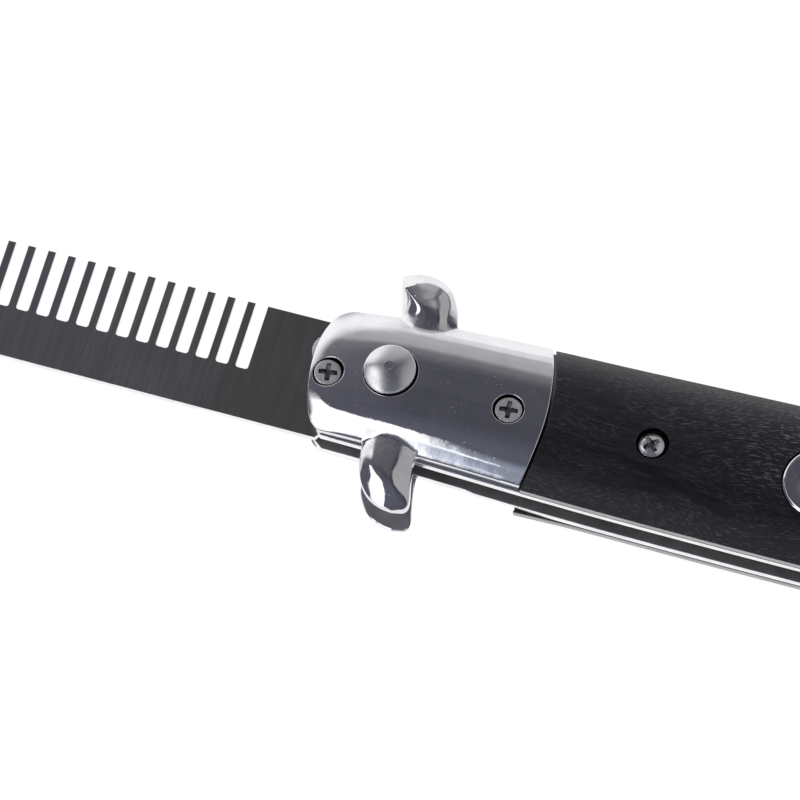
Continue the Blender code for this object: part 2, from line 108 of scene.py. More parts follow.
def dense(rows, columns, count=160):
    """Rows of a table carried through a cubic by their index."""
    rows = np.asarray(rows, float)
    n = len(rows)
    t = np.linspace(0, n - 1, count)
    i = np.minimum(t.astype(int), n - 2)
    f = (t - i)[:, None]
    slope = np.gradient(rows, axis=0)
    a, b, sa, sb = rows[i], rows[i + 1], slope[i], slope[i + 1]
    out = ((2 * f**3 - 3 * f**2 + 1) * a + (f**3 - 2 * f**2 + f) * sa
           + (-2 * f**3 + 3 * f**2) * b + (f**3 - f**2) * sb)
    return out[:, columns]


def edge_curve(column):
    """The cubic of one column of EDGES, as a function of u."""
    x, y = EDGES[:, 0], EDGES[:, column]
    slope = np.empty(len(x))
    slope[1:-1] = (y[2:] - y[:-2]) / (x[2:] - x[:-2])
    slope[0] = (y[1] - y[0]) / (x[1] - x[0])
    slope[-1] = (y[-1] - y[-2]) / (x[-1] - x[-2])
    grid = np.linspace(x[0], x[-1], 1200)
    i = np.clip(np.searchsorted(x, grid, side="right") - 1, 0, len(x) - 2)
    h = x[i + 1] - x[i]
    t = (grid - x[i]) / h
    vals = ((2 * t**3 - 3 * t**2 + 1) * y[i] + (t**3 - 2 * t**2 + t) * h * slope[i]
            + (-2 * t**3 + 3 * t**2) * y[i + 1] + (t**3 - t**2) * h * slope[i + 1])
    return lambda u: np.interp(u, grid, vals)


north, scale_north, bolster_south, scale_south, liner_south = (edge_curve(c) for c in range(1, 6))


def far_scale_south(u):
    """The far scale stands proud of the liner by the bolster, then runs flush with it."""
    return scale_south(u) - 0.02 - 0.36 * np.clip((36.0 - np.asarray(u, float)) / 9.0, 0, 1) ** 1.5


def joint_line(v, side):
    return JOINT_U[side] - JOINT_CURVE * (v - JOINT_V) ** 2


def rear_line(v):
    return REAR_U + JOINT_CURVE * (v - JOINT_V) ** 2


def front_line(v):
    v = np.asarray(v, float)
    return -2.47 + np.where(v > 2.6, 0.044, 0.0242) * (v - 2.6) ** 2


def tail_line(v):
    return TAIL_U - 0.030 * (np.asarray(v, float) - 1.2) ** 2


def rounded_in(distance, radius):
    t = np.clip(1.0 - np.asarray(distance, float) / radius, 0.0, 1.0)
    return radius * (1.0 - np.sqrt(np.maximum(0.0, 1.0 - t * t)))


def resampled(points, spacing):
    """A closed outline with even spacing, corners kept closely."""
    p = np.vstack([points, points[:1]])
    seg = np.hypot(*(p[1:] - p[:-1]).T)
    s = np.concatenate([[0], np.cumsum(seg)])
    n = max(12, int(s[-1] / spacing))
    t = np.linspace(0, s[-1], n, endpoint=False)
    return np.stack([np.interp(t, s, p[:, 0]), np.interp(t, s, p[:, 1])], 1)


TREES = {}


def signed_distance(points, outline):
    """Distance to a closed, evenly spaced outline, positive inside."""
    kept = TREES.get(id(outline))
    if kept is None:
        tree = KDTree(len(outline))
        for k, (x, y) in enumerate(outline):
            tree.insert((x, y, 0.0), k)
        tree.balance()
        ahead = np.roll(outline, -1, 0) - outline
        way = np.sign((outline[:, 0] * ahead[:, 1] - outline[:, 1] * ahead[:, 0]).sum())
        kept = TREES[id(outline)] = (outline, tree, ahead, np.maximum((ahead**2).sum(1), 1e-12), way)
    _, tree, ahead, length, way = kept
    points = np.asarray(points, float)
    find = tree.find
    near = np.fromiter((find((x, y, 0.0))[1] for x, y in points.tolist()), int, len(points))
    out, sign = np.full(len(points), np.inf), np.ones(len(points))
    for back in (0, 1):
        k = near - back
        ap = points - outline[k]
        t = np.clip((ap * ahead[k]).sum(1) / length[k], 0, 1)
        gap = ap - t[:, None] * ahead[k]
        d = np.hypot(gap[:, 0], gap[:, 1])
        unit = ahead[k] / np.sqrt(length[k])[:, None]
        unit_next = ahead[(k + 1) % len(outline)] / np.sqrt(length[(k + 1) % len(outline)])[:, None]
        unit_last = ahead[k - 1] / np.sqrt(length[k - 1])[:, None]
        unit = np.where((t >= 1)[:, None], unit + unit_next, np.where((t <= 0)[:, None],
                                                                      unit + unit_last, unit))
        side_of = unit[:, 0] * gap[:, 1] - unit[:, 1] * gap[:, 0]
        better = d < out - 1e-12
        out = np.where(better, d, out)
        sign = np.where(better, np.where(side_of >= 0, 1.0, -1.0), sign)
    return out * sign * way


def smooth_max(a, b, k):
    h = np.clip(0.5 + 0.5 * (a - b) / k, 0, 1)
    return b * (1 - h) + a * h + k * h * (1 - h)


def contour(values, xs, ys):
    """The longest zero line of a grid of values, as a closed outline."""
    links = {}

    def point(i, j, i2, j2):
        a, b = values[j, i], values[j2, i2]
        t = a / (a - b)
        return (xs[i] + t * (xs[i2] - xs[i]), ys[j] + t * (ys[j2] - ys[j]))

    places = {}
    inside = values > 0
    mixed = ((inside[:-1, :-1].astype(int) + inside[1:, :-1] + inside[:-1, 1:] + inside[1:, 1:]) % 4) != 0
    for j, i in zip(*np.nonzero(mixed)):
        corners = ((i, j), (i + 1, j), (i + 1, j + 1), (i, j + 1))
        cut = []
        for c in range(4):
            (i1, j1), (i2, j2) = corners[c], corners[(c + 1) % 4]
            if inside[j1, i1] != inside[j2, i2]:
                key = tuple(sorted(((i1, j1), (i2, j2))))
                places[key] = point(i1, j1, i2, j2)
                cut.append(key)
        for m in range(0, len(cut) - 1, 2):
            links.setdefault(cut[m], []).append(cut[m + 1])
            links.setdefault(cut[m + 1], []).append(cut[m])
    best = []
    left = set(links)
    while left:
        start = next(iter(left))
        loop, here, last = [start], start, None
        left.discard(start)
        while True:
            ahead = [k for k in links[here] if k != last and (k in left or k == start)]
            if not ahead or ahead[0] == start:
                break
            last, here = here, ahead[0]
            left.discard(here)
            loop.append(here)
        if len(loop) > len(best):
            best = loop
    out = np.array([places[k] for k in best])
    area = np.sum(out[:, 0] * np.roll(out[:, 1], -1) - np.roll(out[:, 0], -1) * out[:, 1])
    return out if area > 0 else out[::-1]


def plate_outline(start, end, south, north_edge, corners=(0.0, 0.0), at_end=False):
    """Plan of a plate between two end lines, counter-clockwise."""
    def rows(v_from, v_to, line):
        v = np.linspace(v_from, v_to, 120)
        return np.stack([line(v), v], 1)

    mid = 1.6
    u0, u1 = float(start(mid)), float(end(mid))
    stops = np.unique(np.concatenate([np.linspace(0, 4.5, 60), np.linspace(4.5, u1 - u0, 160)]))
    if at_end:
        stops = (u1 - u0) - stops[::-1]
    low, high = [], []
    for d in stops:
        u = u0 + d
        near = (u1 - u0 - d) if at_end else d
        lo = float(south(u)) + (rounded_in(near, corners[0]) if corners[0] else 0.0)
        hi = float(north_edge(u)) - (rounded_in(near, corners[1]) if corners[1] else 0.0)
        s = d / (u1 - u0)
        low.append(((1 - s) * float(start(lo)) + s * float(end(lo)), lo))
        high.append(((1 - s) * float(start(hi)) + s * float(end(hi)), hi))
    left = rows(high[0][1], low[0][1], start)
    right = rows(low[-1][1], high[-1][1], end)
    return np.vstack([np.array(low), right[1:-1], np.array(high)[::-1], left[1:-1]])


def limb_outline(table):
    d = dense(table, slice(0, 4))
    return np.vstack([d[:, 2:4], d[::-1, 0:2]])


def arch(e):
    return 1.0 - np.abs(e) ** POWER


def plate_height(u, v, south, north_edge, wall, lift, corner=1.0):
    """Domed height; corner above 1 lets an end and a flank fall together past the rim."""
    lo, hi = south(u), north_edge(u)
    eta = 2 * (v - lo) / (hi - lo) - 1
    e = np.maximum(0.0, (np.abs(eta) - FLAT) / (1 - FLAT))
    share = arch(e) * lift
    if np.any(corner != 1.0):
        both = 1 - ((1 - arch(e)) ** corner + (1 - lift) ** corner) ** (1 / corner)
        share = np.where(v < 0.5 * (lo + hi), both, share)
    return wall + (CROWN - wall) * share


def line_distance(points, line):
    """Distance to an open line."""
    kept = TREES.get(id(line))
    if kept is None:
        tree = KDTree(len(line))
        for k, (x, y) in enumerate(line):
            tree.insert((x, y, 0.0), k)
        tree.balance()
        ahead = line[1:] - line[:-1]
        kept = TREES[id(line)] = (line, tree, ahead, np.maximum((ahead**2).sum(1), 1e-12))
    _, tree, ahead, length = kept
    find = tree.find
    near = np.fromiter((find((x, y, 0.0))[1] for x, y in points.tolist()), int, len(points))
    out = np.full(len(points), np.inf)
    for back in (0, 1):
        k = np.clip(near - back, 0, len(ahead) - 1)
        ap = points - line[k]
        t = np.clip((ap * ahead[k]).sum(1) / length[k], 0, 1)
        out = np.minimum(out, np.hypot(*(ap - t[:, None] * ahead[k]).T))
    return out


class Limb:
    """A quillon's shape: a soft crown that falls away towards its edges.

    Each side is (reach, power, rim, steep), at the root and at the tip: a fall over reach,
    cut near the edge by a rim of slope steep. With a fan, the right side's fall at the tip
    spreads from the tip's left corner instead of running level with the edge.
    """

    def __init__(self, table, inland, foot, crest, falls, lean, fan=0.0):
        d = dense(table[:, :4], slice(0, 4), 240)
        left, right = d[:, 0:2], d[:, 2:4]
        self.left = np.vstack([(left[0, 0], inland), left])
        self.right = np.vstack([(right[0, 0], inland), right, left[-1:]])
        self.whole = resampled(np.vstack([self.right, self.left[::-1]]), 0.10)
        self.foot, self.crest, self.falls, self.lean, self.fan = foot, crest, falls, lean, fan

    def height(self, u, v):
        p = np.stack([u, v], 1)
        foot = self.foot
        keep = 1.0
        out = np.clip((np.abs(v) - 10.3) / 3.4, 0, 1)
        out = out * out * (3 - 2 * out)
        gaps = [line_distance(p, line) for line in (self.left, self.right)]
        for k, (root, tip) in enumerate(self.falls):
            d = gaps[k]
            reach, power, rim, steep = (a + (b - a) * out for a, b in zip(root, tip))
            spread = d
            if k == 1 and self.fan:
                across = gaps[1] / (gaps[0] + gaps[1] + 1e-9)
                spread = d + (across * self.fan - d) * out
            side = rim + (1 - rim) * (1 - (1 - np.clip(spread / reach, 0, 1)) ** power)
            keep = keep * -smooth_max(-side, -steep * d, 0.03)
        top = (self.crest + self.lean[0] * (u - 10.0)
               + self.lean[1] * np.clip(np.abs(v) - 10.0, -4.0, 1.5))
        z = foot + (top - foot) * keep
        outside = np.minimum(signed_distance(p, self.whole), 0.0)
        return np.where(outside < 0, foot + 1.2 * outside, z)


LIMB_NORTH = Limb(QUILLON_NORTH, 2.0, 3.4, 5.08,
                  (((3.2, 2.2, 0.0, 9.0), (0.30, 2.0, 0.0, 9.0)),
                   ((4.0, 2.0, 0.20, 0.46), (5.3, 2.0, 0.12, 0.44))), (0.05, 0.09), 6.2)
LIMB_SOUTH = Limb(QUILLON_SOUTH, 0.5, 3.25, 4.66,
                  (((3.0, 2.2, 0.0, 9.0), (4.9, 2.0, 0.0, 9.0)),
                   ((3.3, 1.8, 0.30, 2.5), (3.3, 1.8, 0.30, 2.5))), (0.0, 0.05))


def edge_drop(d, r):
    x = np.clip(r - d, 0, r)
    return r - np.sqrt(np.maximum(r * r - x * x, 0))


# ------------------------------------------------------------------ mesh builders
def new_object(name, verts, faces, mat, body, replaces=(), loop_normals=None,
               flat=False, at=None):
    """A mesh piece from work-frame points, riding on a CAD body."""
    mesh = bpy.data.meshes.new(name)
    place = placed(verts)
    origin = np.zeros(3) if at is None else placed(at)
    mesh.from_pydata((place - origin).tolist(), [], [tuple(int(i) for i in f) for f in faces])
    mesh.update()
    if loop_normals is not None:
        mesh.polygons.foreach_set("use_smooth", [True] * len(mesh.polygons))
        mesh.normals_split_custom_set(loop_normals)
    obj = bpy.data.objects.new(name, mesh)
    obj.location = origin
    bpy.context.collection.objects.link(obj)
    if mat is not None:
        mesh.materials.append(mat)
    if body is not None:
        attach(obj, body)
        if replaces:
            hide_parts(*replaces)
    return obj


def field_mesh(name, outline, holes, height, base, side, spacing, mat, body, replaces,
               edge=0.13, ring_gap=0.16, extra=None, bores=None, chamfer=0.0, polish=None):
    """A closed plate with a shaped upper face given by height(points).

    holes are (u, v, radius, floor or None, lip); a hole with no floor goes right through.
    bores is the material inside them, chamfer the break of the underside's outer edge, and
    polish(u, v) the slight turns along u and v that hand polishing leaves.
    """
    outline = resampled(outline, ring_gap)
    loops = [outline]
    for u, v, r, floor, lip in holes:
        n = max(48, int(2 * math.pi * r / 0.12))
        a = 2 * math.pi * np.arange(n) / n
        loops.append(np.stack([u + r * np.cos(a), v + r * np.sin(a)], 1))

    def edge_radius(p):
        return edge(p) if callable(edge) else np.full(len(p), edge)

    def surface(p):
        z = height(p[:, 0], p[:, 1])
        z = z - edge_drop(np.maximum(signed_distance(p, outline), 0), edge_radius(p))
        for u, v, r, floor, lip in holes:
            z = z - edge_drop(np.maximum(np.hypot(p[:, 0] - u, p[:, 1] - v) - r, 0), lip)
        return z

    pts = [outline] + loops[1:]
    tangent = np.roll(outline, -1, 0) - np.roll(outline, 1, 0)
    inward = np.stack([-tangent[:, 1], tangent[:, 0]], 1) / np.hypot(*tangent.T)[:, None]
    for d in (0.025, 0.06, 0.10, 0.16, 0.25, 0.38, 0.56):
        ring = outline + inward * d
        keep = np.abs(signed_distance(ring, outline) - d) < 0.012
        for u, v, r, floor, lip in holes:
            keep &= np.hypot(ring[:, 0] - u, ring[:, 1] - v) > r + 0.35
        pts.append(ring[keep])
    for (u, v, r, floor, lip), loop in zip(holes, loops[1:]):
        for d in (0.015, 0.035, 0.06, 0.10, 0.16, 0.26, 0.4):
            ring = np.array((u, v)) + (loop - np.array((u, v))) * (r + d) / r
            keep = signed_distance(ring, outline) > 0.02
            pts.append(ring[keep])
    lo, hi = outline.min(0), outline.max(0)
    rows = []
    step = spacing * math.sqrt(3) / 2
    for k, y in enumerate(np.arange(lo[1], hi[1], step)):
        x = np.arange(lo[0] + (0.5 * spacing if k % 2 else 0), hi[0], spacing)
        rows.append(np.stack([x, np.full(len(x), y)], 1))
    grid = np.vstack(rows)
    keep = signed_distance(grid, outline) > 0.62
    for u, v, r, floor, lip in holes:
        keep &= np.hypot(grid[:, 0] - u, grid[:, 1] - v) > r + 0.45
    pts.append(grid[keep])
    if extra is not None:
        more = extra
        keep = signed_distance(more, outline) > 0.62
        for u, v, r, floor, lip in holes:
            keep &= np.hypot(more[:, 0] - u, more[:, 1] - v) > r + 0.45
        pts.append(more[keep])
    flat = np.vstack(pts)
    edges, start = [], 0
    for loop in loops:
        n = len(loop)
        edges += [(start + k, start + (k + 1) % n) for k in range(n)]
        start += n
    out_v, _, out_f, orig, _, _ = delaunay_2d_cdt([Vector(p) for p in flat], edges, [], 0, 1e-5)
    plan = np.array([tuple(p) for p in out_v])
    tris = np.array([f for f in out_f if len(f) == 3])
    centre = plan[tris].mean(1)
    keep = signed_distance(centre, outline) > 0
    for u, v, r, floor, lip in holes:
        keep &= np.hypot(centre[:, 0] - u, centre[:, 1] - v) > r * 0.9995
    # a triangle inside a hole has its middle well inside the hole's polygon
    for (u, v, r, floor, lip), loop in zip(holes, loops[1:]):
        keep &= signed_distance(centre, loop) < 0
    tris = tris[keep]
    a, b, c = plan[tris[:, 0]], plan[tris[:, 1]], plan[tris[:, 2]]
    area = (b[:, 0] - a[:, 0]) * (c[:, 1] - a[:, 1]) - (b[:, 1] - a[:, 1]) * (c[:, 0] - a[:, 0])
    tris[area < 0] = tris[area < 0][:, ::-1]
    used = np.unique(tris)
    remap = -np.ones(len(plan), int)
    remap[used] = np.arange(len(used))
    where = {}
    for new, olds in enumerate(orig):
        for o in olds:
            where[o] = new
    plan_used = plan[used]
    tris = remap[tris]
    z = surface(plan_used)
    # analytic normals of the upper face, read a hair inside its edges
    probe = plan_used.copy()
    d_edge = signed_distance(probe, outline)
    close = d_edge < 0.006
    if close.any():
        shift = (plan_used[close][:, None, :] - outline[None]) ** 2
        probe[close] += inward[shift.sum(2).argmin(1)] * 0.008
    for u, v, r, floor, lip in holes:
        rel = probe - np.array((u, v))
        dist = np.hypot(*rel.T)
        near = dist < r + 0.006
        probe[near] = np.array((u, v)) + rel[near] / dist[near][:, None] * (r + 0.008)
    h = 0.004
    gx = (surface(probe + (h, 0)) - surface(probe - (h, 0))) / (2 * h)
    gy = (surface(probe + (0, h)) - surface(probe - (0, h))) / (2 * h)
    if polish is not None:
        turn_u, turn_v = polish(plan_used[:, 0], plan_used[:, 1])
        gx, gy = gx - turn_u, gy - turn_v
    nrm = np.stack([-gx, -gy, np.ones(len(gx))], 1)
    nrm /= np.linalg.norm(nrm, axis=1)[:, None]

    verts = [np.column_stack([plan_used, z])]
    faces = [tuple(t) for t in tris]
    normals = [nrm[t] for t in tris]
    count = len(plan_used)
    bored = []

    def wall(ids, depth, outwards):
        """A straight wall below a loop of upper vertices; returns the lower ring's ids."""
        nonlocal count
        ring = plan_used[ids]
        verts.append(np.column_stack([ring, np.full(len(ids), depth)]))
        low = np.arange(count, count + len(ids))
        count += len(ids)
        nxt = np.roll(ring, -1, 0)
        t = nxt - ring
        face_n = np.stack([t[:, 1], -t[:, 0]], 1) / np.maximum(np.hypot(*t.T), 1e-9)[:, None]
        face_n *= outwards
        before = np.roll(face_n, 1, 0)
        mean = face_n + before
        mean /= np.maximum(np.hypot(*mean.T), 1e-9)[:, None]
        sharp = (face_n * before).sum(1) < math.cos(math.radians(38))
        for k in range(len(ids)):
            m = (k + 1) % len(ids)
            n0 = face_n[k] if sharp[k] else mean[k]
            n1 = face_n[k] if sharp[m] else mean[m]
            n0, n1 = np.array((*n0, 0.0)), np.array((*n1, 0.0))
            if outwards > 0:
                faces.append((ids[k], low[k], low[m], ids[m]))
                normals.append(np.array((n0, n0, n1, n1)))
            else:
                faces.append((ids[k], ids[m], low[m], low[k]))
                normals.append(np.array((n0, n1, n1, n0)))
        return low

    start = 0
    through = []
    for k, loop in enumerate(loops):
        ids = np.array([remap[where[start + j]] for j in range(len(loop))])
        ids = ids[np.concatenate([[True], ids[1:] != ids[:-1]])]
        start += len(loop)
        if k == 0:
            outer = wall(ids, base + chamfer, 1)
            if chamfer:
                ring = plan_used[ids]
                t = np.roll(ring, -1, 0) - np.roll(ring, 1, 0)
                aim = np.stack([-t[:, 1], t[:, 0]], 1) / np.maximum(np.hypot(*t.T), 1e-9)[:, None]
                verts.append(np.column_stack([ring + aim * chamfer, np.full(len(ids), base)]))
                low = np.arange(count, count + len(ids))
                count += len(ids)
                slope = np.column_stack([-aim, np.full(len(ids), -1.0)]) / math.sqrt(2)
                for j in range(len(ids)):
                    m = (j + 1) % len(ids)
                    faces.append((outer[j], low[j], low[m], outer[m]))
                    normals.append(np.array((slope[j], slope[j], slope[m], slope[m])))
                outer = low
        else:
            u, v, r, floor, lip = holes[k - 1]
            first = len(faces)
            low = wall(ids, base if floor is None else floor, -1)
            if floor is None:
                through.append(low)
            else:
                faces.append(tuple(low))
                normals.append(np.tile((0.0, 0.0, 1.0), (len(low), 1)))
            bored += range(first, len(faces))
    # the flat underside
    all_v = np.vstack(verts)
    rings = [outer] + through
    ids = np.concatenate(rings)
    edges, start = [], 0
    for ring in rings:
        n = len(ring)
        edges += [(start + k, start + (k + 1) % n) for k in range(n)]
        start += n
    o_v, _, o_f, o_o, _, _ = delaunay_2d_cdt([Vector(p[:2]) for p in all_v[ids]], edges, [], 0, 1e-5)
    back = {new: ids[olds[0]] for new, olds in enumerate(o_o) if olds}
    o_plan = np.array([tuple(p) for p in o_v])
    t = np.array([f for f in o_f if len(f) == 3])
    centre = o_plan[t].mean(1)
    keep = signed_distance(centre, all_v[outer][:, :2]) > 0
    for ring in through:
        keep &= signed_distance(centre, all_v[ring][:, :2]) < 0
    for f in t[keep]:
        a, b, c = o_plan[f]
        if (b[0] - a[0]) * (c[1] - a[1]) - (b[1] - a[1]) * (c[0] - a[0]) > 0:
            f = f[::-1]
        if all(int(i) in back for i in f):
            faces.append(tuple(back[int(i)] for i in f))
            normals.append(np.tile((0.0, 0.0, -1.0), (3, 1)))
    if side < 0:
        all_v = all_v * (1, 1, -1)
        faces = [f[::-1] for f in faces]
        normals = [n[::-1] * (1, 1, -1) for n in normals]
    obj = new_object(name, all_v, faces, mat, body, replaces,
                     loop_normals=np.vstack(normals).tolist())
    if bores is not None and bored:
        obj.data.materials.append(bores)
        for k in bored:
            obj.data.polygons[k].material_index = 1
    return obj


def paint(obj, mat, test):
    """Give the faces that pass a test another material."""
    obj.data.materials.append(mat)
    index = len(obj.data.materials) - 1
    for face in obj.data.polygons:
        if face.material_index == 0 and test(face.normal):
            face.material_index = index


def lathe(name, centre, profile, sides, mat, body, replaces=(), smooth_angle=34.0, at=None):
    """A turned piece about a line along w; profile rows are (radius, w), bottom to top."""
    verts, rings = [], []
    for radius, z in profile:
        if radius < 1e-6:
            rings.append([len(verts)])
            verts.append((centre[0], centre[1], z))
            continue
        a = 2 * math.pi * np.arange(sides) / sides
        rings.append(list(range(len(verts), len(verts) + sides)))
        verts += [(centre[0] + radius * math.cos(t), centre[1] + radius * math.sin(t), z) for t in a]
    faces = []
    for low, high in zip(rings, rings[1:]):
        for k in range(sides):
            j = (k + 1) % sides
            if len(low) == 1:
                faces.append((low[0], high[j], high[k]))
            elif len(high) == 1:
                faces.append((low[k], low[j], high[0]))
            else:
                faces.append((low[k], low[j], high[j], high[k]))
    if len(rings[0]) > 1:
        faces.append(tuple(rings[0][::-1]))
    if len(rings[-1]) > 1:
        faces.append(tuple(rings[-1]))
    obj = new_object(name, verts, faces, mat, body, replaces, at=at)
    bm = bmesh.new()
    bm.from_mesh(obj.data)
    bmesh.ops.recalc_face_normals(bm, faces=bm.faces)
    bm.to_mesh(obj.data)
    bm.free()
    obj.data.shade_smooth()
    obj.data.set_sharp_from_angle(angle=math.radians(smooth_angle))
    return obj


def slab(name, outline, z0, z1, bevel, mat, body, replaces=(), segments=2, at=None):
    """An outline carried from z0 to z1, its long edges softened."""
    n = len(outline)
    verts = [(u, v, z0) for u, v in outline] + [(u, v, z1) for u, v in outline]
    area = sum(outline[i][0] * outline[(i + 1) % n][1] - outline[(i + 1) % n][0] * outline[i][1]
               for i in range(n))
    low, high = tuple(range(n)), tuple(range(n, 2 * n))
    if area > 0:
        faces = [low[::-1], high] + [(i, (i + 1) % n, n + (i + 1) % n, n + i) for i in range(n)]
    else:
        faces = [low, high[::-1]] + [(n + i, n + (i + 1) % n, (i + 1) % n, i) for i in range(n)]
    obj = new_object(name, verts, faces, mat, body, replaces, at=at)
    if bevel:
        bm = bmesh.new()
        bm.from_mesh(obj.data)
        bm.edges.ensure_lookup_table()
        rim = [e for e in bm.edges if any(len(f.verts) > 4 for f in e.link_faces)]
        bmesh.ops.bevel(bm, geom=rim, offset=bevel * 0.001, segments=segments, profile=0.5,
                        affect="EDGES", clamp_overlap=True)
        bm.to_mesh(obj.data)
        bm.free()
    obj.data.shade_smooth()
    obj.data.set_sharp_from_angle(angle=math.radians(50))
    mod = obj.modifiers.new("even_shading", "WEIGHTED_NORMAL")
    mod.keep_sharp = True
    mod.weight = 100
    return obj


def circle(u, v, r, n=48):
    a = 2 * math.pi * np.arange(n) / n
    return [(u + r * math.cos(t), v + r * math.sin(t)) for t in a]


# ------------------------------------------------------------------ material tools
class Nodes:
    """A few short ways to build a node material."""

    def __init__(self, name):
        self.mat = bpy.data.materials.new(name)
        self.mat.use_nodes = True
        self.tree = self.mat.node_tree
        self.shader = self.tree.nodes["Principled BSDF"]
        self.coord = self.add("ShaderNodeTexCoord").outputs["Object"]

    def add(self, kind, **settings):
        node = self.tree.nodes.new(kind)
        for key, value in settings.items():
            setattr(node, key, value)
        return node

    def link(self, a, b):
        self.tree.links.new(a, b)

    def mapped(self, scale, rotation=(0, 0, 0), location=(0, 0, 0), source=None):
        node = self.add("ShaderNodeMapping")
        node.inputs["Scale"].default_value = scale
        node.inputs["Rotation"].default_value = rotation
        node.inputs["Location"].default_value = location
        self.link(source or self.coord, node.inputs["Vector"])
        return node.outputs["Vector"]

    def position(self, axis, source=None):
        """One coordinate of a point, in metres."""
        node = self.add("ShaderNodeSeparateXYZ")
        self.link(source or self.coord, node.inputs[0])
        return node.outputs[axis]

    def patch(self, u, v, half_u, half_v, fade):
        """A soft patch round a place in the work frame, 1 inside and 0 outside."""
        x, y, _ = placed((u, v, 0.0))
        out = None
        for axis, middle, half in (("X", x, half_u), ("Y", y, half_v)):
            off = self.math("ABSOLUTE", self.math("SUBTRACT", self.position(axis), float(middle)))
            side = self.ramp(off, (half + fade) * 0.001, half * 0.001)
            out = side if out is None else self.math("MULTIPLY", out, side)
        return out

    def noise(self, vector, scale=1.0, detail=2.0, rough=0.5, distortion=0.0, output="Fac"):
        node = self.add("ShaderNodeTexNoise")
        node.inputs["Scale"].default_value = scale
        node.inputs["Detail"].default_value = detail
        node.inputs["Roughness"].default_value = rough
        node.inputs["Distortion"].default_value = distortion
        self.link(vector, node.inputs["Vector"])
        return node.outputs[output]

    def spots(self, vector, scale=1.0, feature="F1", randomness=1.0):
        node = self.add("ShaderNodeTexVoronoi", feature=feature)
        node.inputs["Scale"].default_value = scale
        node.inputs["Randomness"].default_value = randomness
        self.link(vector, node.inputs["Vector"])
        return node

    def ramp(self, value, low, high, to_low=0.0, to_high=1.0, smooth=True):
        node = self.add("ShaderNodeMapRange")
        node.interpolation_type = "SMOOTHSTEP" if smooth else "LINEAR"
        node.clamp = True
        for key, x in (("From Min", low), ("From Max", high), ("To Min", to_low), ("To Max", to_high)):
            node.inputs[key].default_value = x
        self.link(value, node.inputs["Value"])
        return node.outputs["Result"]

    def math(self, operation, a, b=None, clamp=False):
        node = self.add("ShaderNodeMath", operation=operation, use_clamp=clamp)
        for k, x in enumerate((a, b)):
            if x is None:
                continue
            if isinstance(x, (int, float)):
                node.inputs[k].default_value = x
            else:
                self.link(x, node.inputs[k])
        return node.outputs[0]

    def blend(self, factor, a, b, kind="MIX"):
        node = self.add("ShaderNodeMix", data_type="RGBA", blend_type=kind)
        for key, x in ((0, factor), (6, a), (7, b)):
            if isinstance(x, (int, float)):
                node.inputs[key].default_value = x
            elif isinstance(x, tuple):
                node.inputs[key].default_value = (*x, 1.0)
            else:
                self.link(x, node.inputs[key])
        return node.outputs[2]

    def bump(self, height, strength, distance, after=None):
        node = self.add("ShaderNodeBump")
        node.inputs["Strength"].default_value = strength
        node.inputs["Distance"].default_value = distance
        self.link(height, node.inputs["Height"])
        if after is not None:
            self.link(after, node.inputs["Normal"])
        return node.outputs["Normal"]

    def set(self, **values):
        for key, x in values.items():
            socket = self.shader.inputs[key.replace("_", " ")]
            if isinstance(x, (int, float)):
                socket.default_value = x
            elif isinstance(x, tuple):
                socket.default_value = (*x, 1.0) if len(x) == 3 else x
            else:
                self.link(x, socket)
        return self


def chrome_material(name="polished_chrome", low=0.022, high=0.075):
    """Hand-polished plated metal: softly uneven, with dust and tiny pits."""
    m = Nodes(name)
    wavy = m.noise(m.mapped((1, 1, 1)), 260, 1.0, 0.4)
    wavy_long = m.noise(m.mapped((60, 300, 300)), 1.0, 1.0, 0.4)
    specks = m.spots(m.mapped((1, 1, 1)), 2300)
    sparse = m.noise(m.mapped((1, 1, 1)), 900, 2.0, 0.6)
    pit = m.math("MULTIPLY", m.ramp(specks.outputs["Distance"], 0.0, 0.16, 1.0, 0.0),
                 m.ramp(sparse, 0.56, 0.66))
    fine = m.noise(m.mapped((1, 1, 1)), 9000, 3.0, 0.7)
    ripple = m.noise(m.mapped((1, 1, 1)), 1000, 2.0, 0.5)
    flake = m.spots(m.mapped((1, 1, 1)), 2100)
    where = m.noise(m.mapped((1, 1, 1)), 330, 3.0, 0.7)
    roots = m.math("MAXIMUM", m.patch(10.0, 8.6, 4.4, 0.7, 1.3), m.patch(10.2, -7.2, 2.2, 0.6, 1.0))
    grain = m.spots(m.mapped((1, 1, 1)), 4300)
    cast = m.math("MULTIPLY", roots, m.ramp(grain.outputs["Distance"], 0.25, 0.5, 1.0, 0.0))
    dust = m.math("MULTIPLY", m.ramp(flake.outputs["Distance"], 0.08, 0.18, 1.0, 0.0),
                  m.ramp(where, 0.36, 0.62, 0.0, 0.42))
    dust = m.math("MAXIMUM", dust, m.math("MULTIPLY", cast, 0.16))
    n1 = m.bump(wavy, 0.35, 0.00006)
    n1 = m.bump(ripple, 0.12, 0.00003, n1)
    n2 = m.bump(wavy_long, 0.25, 0.00004, n1)
    n3 = m.bump(pit, 0.35, 0.00003, n2)
    n4 = m.bump(fine, 0.06, 0.00001, n3)
    haze = m.noise(m.mapped((1, 1, 1)), 420, 4.0, 0.6)
    rough = m.math("ADD", m.ramp(haze, 0.3, 0.75, low, high), m.math("MULTIPLY", pit, 0.35))
    colour = m.blend(m.ramp(haze, 0.35, 0.7), (0.80, 0.80, 0.815), (0.74, 0.74, 0.765))
    m.set(Base_Color=colour, Metallic=m.math("SUBTRACT", 1.0, dust), Normal=n4,
          Roughness=m.math("ADD", m.math("ADD", rough, m.math("MULTIPLY", roots, 0.10)),
                           m.math("MULTIPLY", dust, 0.5)))
    return m.mat


